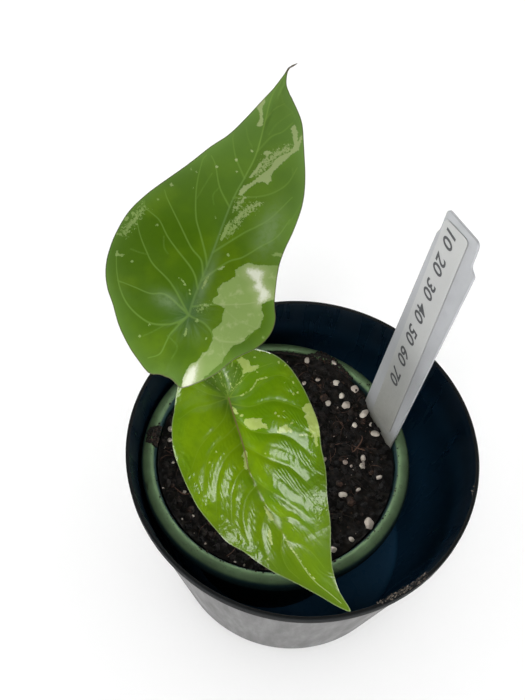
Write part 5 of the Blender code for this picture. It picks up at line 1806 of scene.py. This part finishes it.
def label_film_finish(style):
    """Off-white printed film with a faint crease and handling marks."""
    finish = Finish("strip_film", 0.38)
    place = finish.position()
    cloudy = finish.noise(place, 9.0, 3.0)
    marks = finish.noise(place, 1.2, 5.0, 0.7)
    worn = finish.ramp(cloudy, 0.3, 0.7)
    white = finish.mix(worn, toned(style.film, 0.94), style.film)
    # Darker and browner towards the soil
    towards_soil = finish.ramp(finish.axis(place, "Z"), SOIL_LEVEL + 50, SOIL_LEVEL + 2, 0, 0.5)
    white = finish.mix(towards_soil, white, style.tint)
    marked = finish.ramp(marks, 0.62, 0.8, 0, 0.3)
    finish.set("Base Color", finish.mix(marked, white, style.tint))
    finish.set("Roughness", finish.ramp(marks, 0.3, 0.7, 0.32, 0.46))
    finish.set("Normal", finish.bump(cloudy, 0.10))
    return finish.material


def ink_finish(style):
    """Dark matt ink with slightly worn coverage."""
    finish = Finish("label_ink", 0.6)
    worn = finish.ramp(finish.noise(finish.position(), 0.5, 3.0, 0.6), 0.5, 0.8, 0, 0.25)
    finish.set("Base Color", finish.mix(worn, style.ink, toned(style.ink, 3)))
    return finish.material


def make_label_stake(style):
    """The plastic stake that stands in the soil."""
    half, top = LABEL_WIDTH / 2, LABEL_SHOULDER + LABEL_HEAD
    notch, drop = LABEL_NOTCH
    left_inset, right_inset = LABEL_HEAD_INSETS
    soft = LABEL_ROUNDING
    corners = (
        (0, LABEL_POINT),
        (half, LABEL_TAPER_START),
        (half, LABEL_SHOULDER),
        (half - notch, LABEL_SHOULDER + drop),
        (half - right_inset, top),
        (-half + left_inset, top),
        (-half + 1.4 * left_inset, LABEL_SHOULDER + 1.5 * drop),
        (-half, LABEL_SHOULDER + 0.3 * drop),
        (-half, LABEL_TAPER_START),
    )
    radii = (0.6 * soft, 0, 0.5 * soft, 0.75 * soft, 1.5 * soft, soft, 0.6 * soft, 0.4 * soft, 0)
    outline = rounded(corners, radii)
    half_thick = LABEL_THICKNESS / 2
    points, faces = bevelled_plate(outline, -half_thick, half_thick, LABEL_EDGE)
    add_object(
        "label_stake", points, faces, [label_plastic_finish(style)],
        ("plant_label",), sharp=35,
    )


def on_strip(x, y):
    """From the strip's own millimetres, which lean, to the label's."""
    lean = math.radians(STRIP_LEAN)
    return (
        STRIP_FOOT + x * math.cos(lean) - y * math.sin(lean),
        STRIP_BOTTOM + x * math.sin(lean) + y * math.cos(lean),
    )


def make_label_strip(style):
    """The film on the label's face."""
    half, length = STRIP_WIDTH / 2, STRIP_TOP - STRIP_BOTTOM
    corners = ((-half, 0), (half, 0), (half, length), (-half, length))
    outline = [on_strip(x, y) for x, y in rounded(corners, (STRIP_ROUNDING,) * 4)]
    points, faces = bevelled_plate(outline, STRIP_BACK, STRIP_FACE, STRIP_EDGE)
    add_object(
        "label_film", points, faces, [label_film_finish(style)],
        ("label_strip",), sharp=35,
    )


def numeral(text):
    """Points and faces of a slanted numeral, in its own millimetres."""
    curve = bpy.data.curves.new("numeral", "FONT")
    curve.body = text
    curve.size = NUMERAL_SIZE
    curve.shear = NUMERAL_SLANT
    curve.offset = NUMERAL_BOLDNESS
    curve.extrude = INK_THICKNESS
    curve.resolution_u = 4
    obj = bpy.data.objects.new("numeral", curve)
    bpy.context.scene.collection.objects.link(obj)
    bpy.context.view_layer.update()
    graph = bpy.context.evaluated_depsgraph_get()
    mesh = bpy.data.meshes.new_from_object(obj.evaluated_get(graph))
    points = [tuple(v.co) for v in mesh.vertices]
    faces = [tuple(f.vertices) for f in mesh.polygons]
    bpy.data.objects.remove(obj, do_unlink=True)
    bpy.data.curves.remove(curve)
    bpy.data.meshes.remove(mesh)
    return points, faces


def make_label_numerals(style):
    """A plain row of tens printed on the film, read from the top down."""
    place = label_matrix()
    points, faces = [], []
    for i, text in enumerate(NUMERALS):
        start = NUMERAL_FIRST - NUMERAL_PITCH * i
        shape, shape_faces = numeral(text)
        faces.extend(tuple(k + len(points) for k in face) for face in shape_faces)
        for a, b, c in shape:
            x, y = on_strip(NUMERAL_BASE + b, start - a)
            points.append(tuple(place @ Vector((x, y, STRIP_FACE + INK_HEIGHT + c))))
    add_object("label_numerals", points, faces, [ink_finish(style)], sharp=30)


def make_floor(style):
    """A wide pale floor."""
    finish = Finish("floor_paper", 0.9, specular=0.1)
    soft = finish.ramp(finish.noise(finish.position(), 300.0, 2.0), 0.3, 0.7)
    finish.set("Base Color", finish.mix(soft, toned(style.floor, 0.985), style.floor))
    mesh = bpy.data.meshes.new("floor")
    half = FLOOR_HALF
    corners = [(-half, -half, 0), (half, -half, 0), (half, half, 0), (-half, half, 0)]
    mesh.from_pydata(corners, [], [(0, 1, 2, 3)])
    mesh.materials.append(finish.material)
    floor = bpy.data.objects.new("floor", mesh)
    bpy.context.scene.collection.objects.link(floor)


def make_surroundings(style):
    """A soft studio: bright round the sides, dim overhead."""
    world = bpy.data.worlds.new("studio")
    world.use_nodes = True
    bpy.context.scene.world = world
    tree = world.node_tree
    background = tree.nodes["Background"]
    direction = tree.nodes.new("ShaderNodeTexCoord")
    split = tree.nodes.new("ShaderNodeSeparateXYZ")
    fade = tree.nodes.new("ShaderNodeMapRange")
    fade.interpolation_type = "SMOOTHSTEP"
    low, high = SKY_FADE
    limits = {"From Min": low, "From Max": high, "To Min": 1.0, "To Max": SKY_TOP}
    for name, value in limits.items():
        fade.inputs[name].default_value = value
    power = tree.nodes.new("ShaderNodeMath")
    power.operation = "MULTIPLY"
    power.inputs[1].default_value = style.fill
    tree.links.new(direction.outputs["Generated"], split.inputs[0])
    tree.links.new(split.outputs["Z"], fade.inputs["Value"])
    tree.links.new(fade.outputs["Result"], power.inputs[0])
    tree.links.new(power.outputs[0], background.inputs["Strength"])
    background.inputs["Color"].default_value = (1.0, 1.0, 1.0, 1.0)


def make_light(name, place, aim, sides, watts):
    """A rectangular soft light that looks at a point."""
    data = bpy.data.lights.new(name, "AREA")
    data.shape = "RECTANGLE"
    data.size, data.size_y = sides
    data.energy = watts
    light = bpy.data.objects.new(name, data)
    light.location = place
    light.rotation_euler = (Vector(aim) - Vector(place)).to_track_quat("-Z", "Y").to_euler()
    bpy.context.scene.collection.objects.link(light)


def make_camera(style):
    """The camera at the photograph's viewing angle."""
    data = bpy.data.cameras.new("camera")
    data.sensor_fit = "AUTO"
    data.sensor_width = CAMERA_SENSOR
    data.lens = style.lens
    data.clip_start = CAMERA_NEAREST
    camera = bpy.data.objects.new("camera", data)
    camera.location = CAMERA_PLACE
    camera.rotation_euler = tuple(math.radians(angle) for angle in CAMERA_TURN)
    bpy.context.scene.collection.objects.link(camera)
    bpy.context.scene.camera = camera


class ALOCASIA_OT_cover_pot(bpy.types.Operator):
    """Turn the cover pot and give it its finishes."""

    bl_idname = "alocasia.cover_pot"
    bl_label = "Cover pot"

    def execute(self, context):
        make_cover_pot(look(context, "pots"))
        return {"FINISHED"}


class ALOCASIA_OT_nursery_pot(bpy.types.Operator):
    """Turn the green nursery pot with its drain holes."""

    bl_idname = "alocasia.nursery_pot"
    bl_label = "Nursery pot"

    def execute(self, context):
        make_nursery_pot(look(context, "pots"))
        return {"FINISHED"}


class ALOCASIA_OT_soil(bpy.types.Operator):
    """Fill the pot with soil, crumbs, fibres and perlite."""

    bl_idname = "alocasia.soil"
    bl_label = "Soil"

    def execute(self, context):
        soil = look(context, "soil")
        finish = make_soil_bed(soil)
        make_crumbs(soil, finish)
        make_fibres(soil, finish)
        make_grains(soil)
        make_spilled_soil(soil, finish)
        return {"FINISHED"}


class ALOCASIA_OT_leaves(bpy.types.Operator):
    """Grow the two leaves on their stalks."""

    bl_idname = "alocasia.leaves"
    bl_label = "Leaves"

    def execute(self, context):
        for key in LEAVES:
            make_blade(key, look(context, key))
            make_stalk(key, look(context, key))
        return {"FINISHED"}


class ALOCASIA_OT_label(bpy.types.Operator):
    """Stand the plant label in the soil, with its film and plain scale."""

    bl_idname = "alocasia.label"
    bl_label = "Plant label"

    def execute(self, context):
        style = look(context, "label")
        make_label_stake(style)
        make_label_strip(style)
        make_label_numerals(style)
        return {"FINISHED"}


class ALOCASIA_OT_stage(bpy.types.Operator):
    """Lay the floor, light it softly and set the camera."""

    bl_idname = "alocasia.stage"
    bl_label = "Stage"

    def execute(self, context):
        style = look(context, "stage")
        context.scene.view_settings.view_transform = "Standard"
        make_floor(style)
        make_surroundings(style)
        make_light("key", KEY_PLACE, KEY_AIM, KEY_SIDES, style.key)
        make_camera(style)
        return {"FINISHED"}


OPERATORS = (
    ALOCASIA_OT_cover_pot, ALOCASIA_OT_nursery_pot, ALOCASIA_OT_soil, ALOCASIA_OT_leaves,
    ALOCASIA_OT_label, ALOCASIA_OT_stage,
)


class ALOCASIA_PT_sidebar(bpy.types.Panel):
    """Lists the builders and their settings."""

    bl_idname = "ALOCASIA_PT_sidebar"
    bl_label = "Alocasia"
    bl_space_type = "VIEW_3D"
    bl_region_type = "UI"
    bl_category = "Alocasia"

    def draw(self, context):
        for operator in OPERATORS:
            self.layout.operator(operator.bl_idname)
        for name in GROUPS:
            group = look(context, name)
            box = self.layout.box()
            box.label(text=name.title())
            for key in type(group).__annotations__:
                box.prop(group, key)


GROUPS = {
    "pots": PotLook, "soil": SoilLook, "older": LeafLook, "newer": LeafLook,
    "label": LabelLook, "stage": StageLook,
}
CLASSES = (PotLook, SoilLook, LeafLook, LabelLook, StageLook, *OPERATORS, ALOCASIA_PT_sidebar)


def register():
    for made in CLASSES:
        bpy.utils.register_class(made)
    for name, group in GROUPS.items():
        setattr(bpy.types.Scene, "alocasia_" + name, PointerProperty(type=group))


def unregister():
    for name in GROUPS:
        delattr(bpy.types.Scene, "alocasia_" + name)
    for made in reversed(CLASSES):
        bpy.utils.unregister_class(made)


def dress_newer_leaf(style):
    """The newer leaf is yellower and glossier than the older one, the default."""
    style.green = (0.074, 0.155, 0.0009)
    style.fresh = (0.104, 0.184, 0.0009)
    style.deep = (0.042, 0.088, 0.0042)
    style.dull_green_and_sheen = (0.0686, 0.1225, 0.0058)
    style.vein = (0.139, 0.218, 0.0185)
    style.rib = (0.121, 0.084, 0.029)
    style.pale = (0.240, 0.305, 0.074)
    style.cream = (0.314, 0.370, 0.139)
    style.white = (0.416, 0.444, 0.277)
    style.margin = (0.192, 0.229, 0.118)
    style.under = (0.190, 0.290, 0.060)
    style.roughness = 0.17
    style.gloss = 0.50


def main():
    register()
    dress_newer_leaf(look(bpy.context, "newer"))
    for operator in OPERATORS:
        group, name = operator.bl_idname.split(".")
        getattr(getattr(bpy.ops, group), name)()


if __name__ == "__main__":
    main()
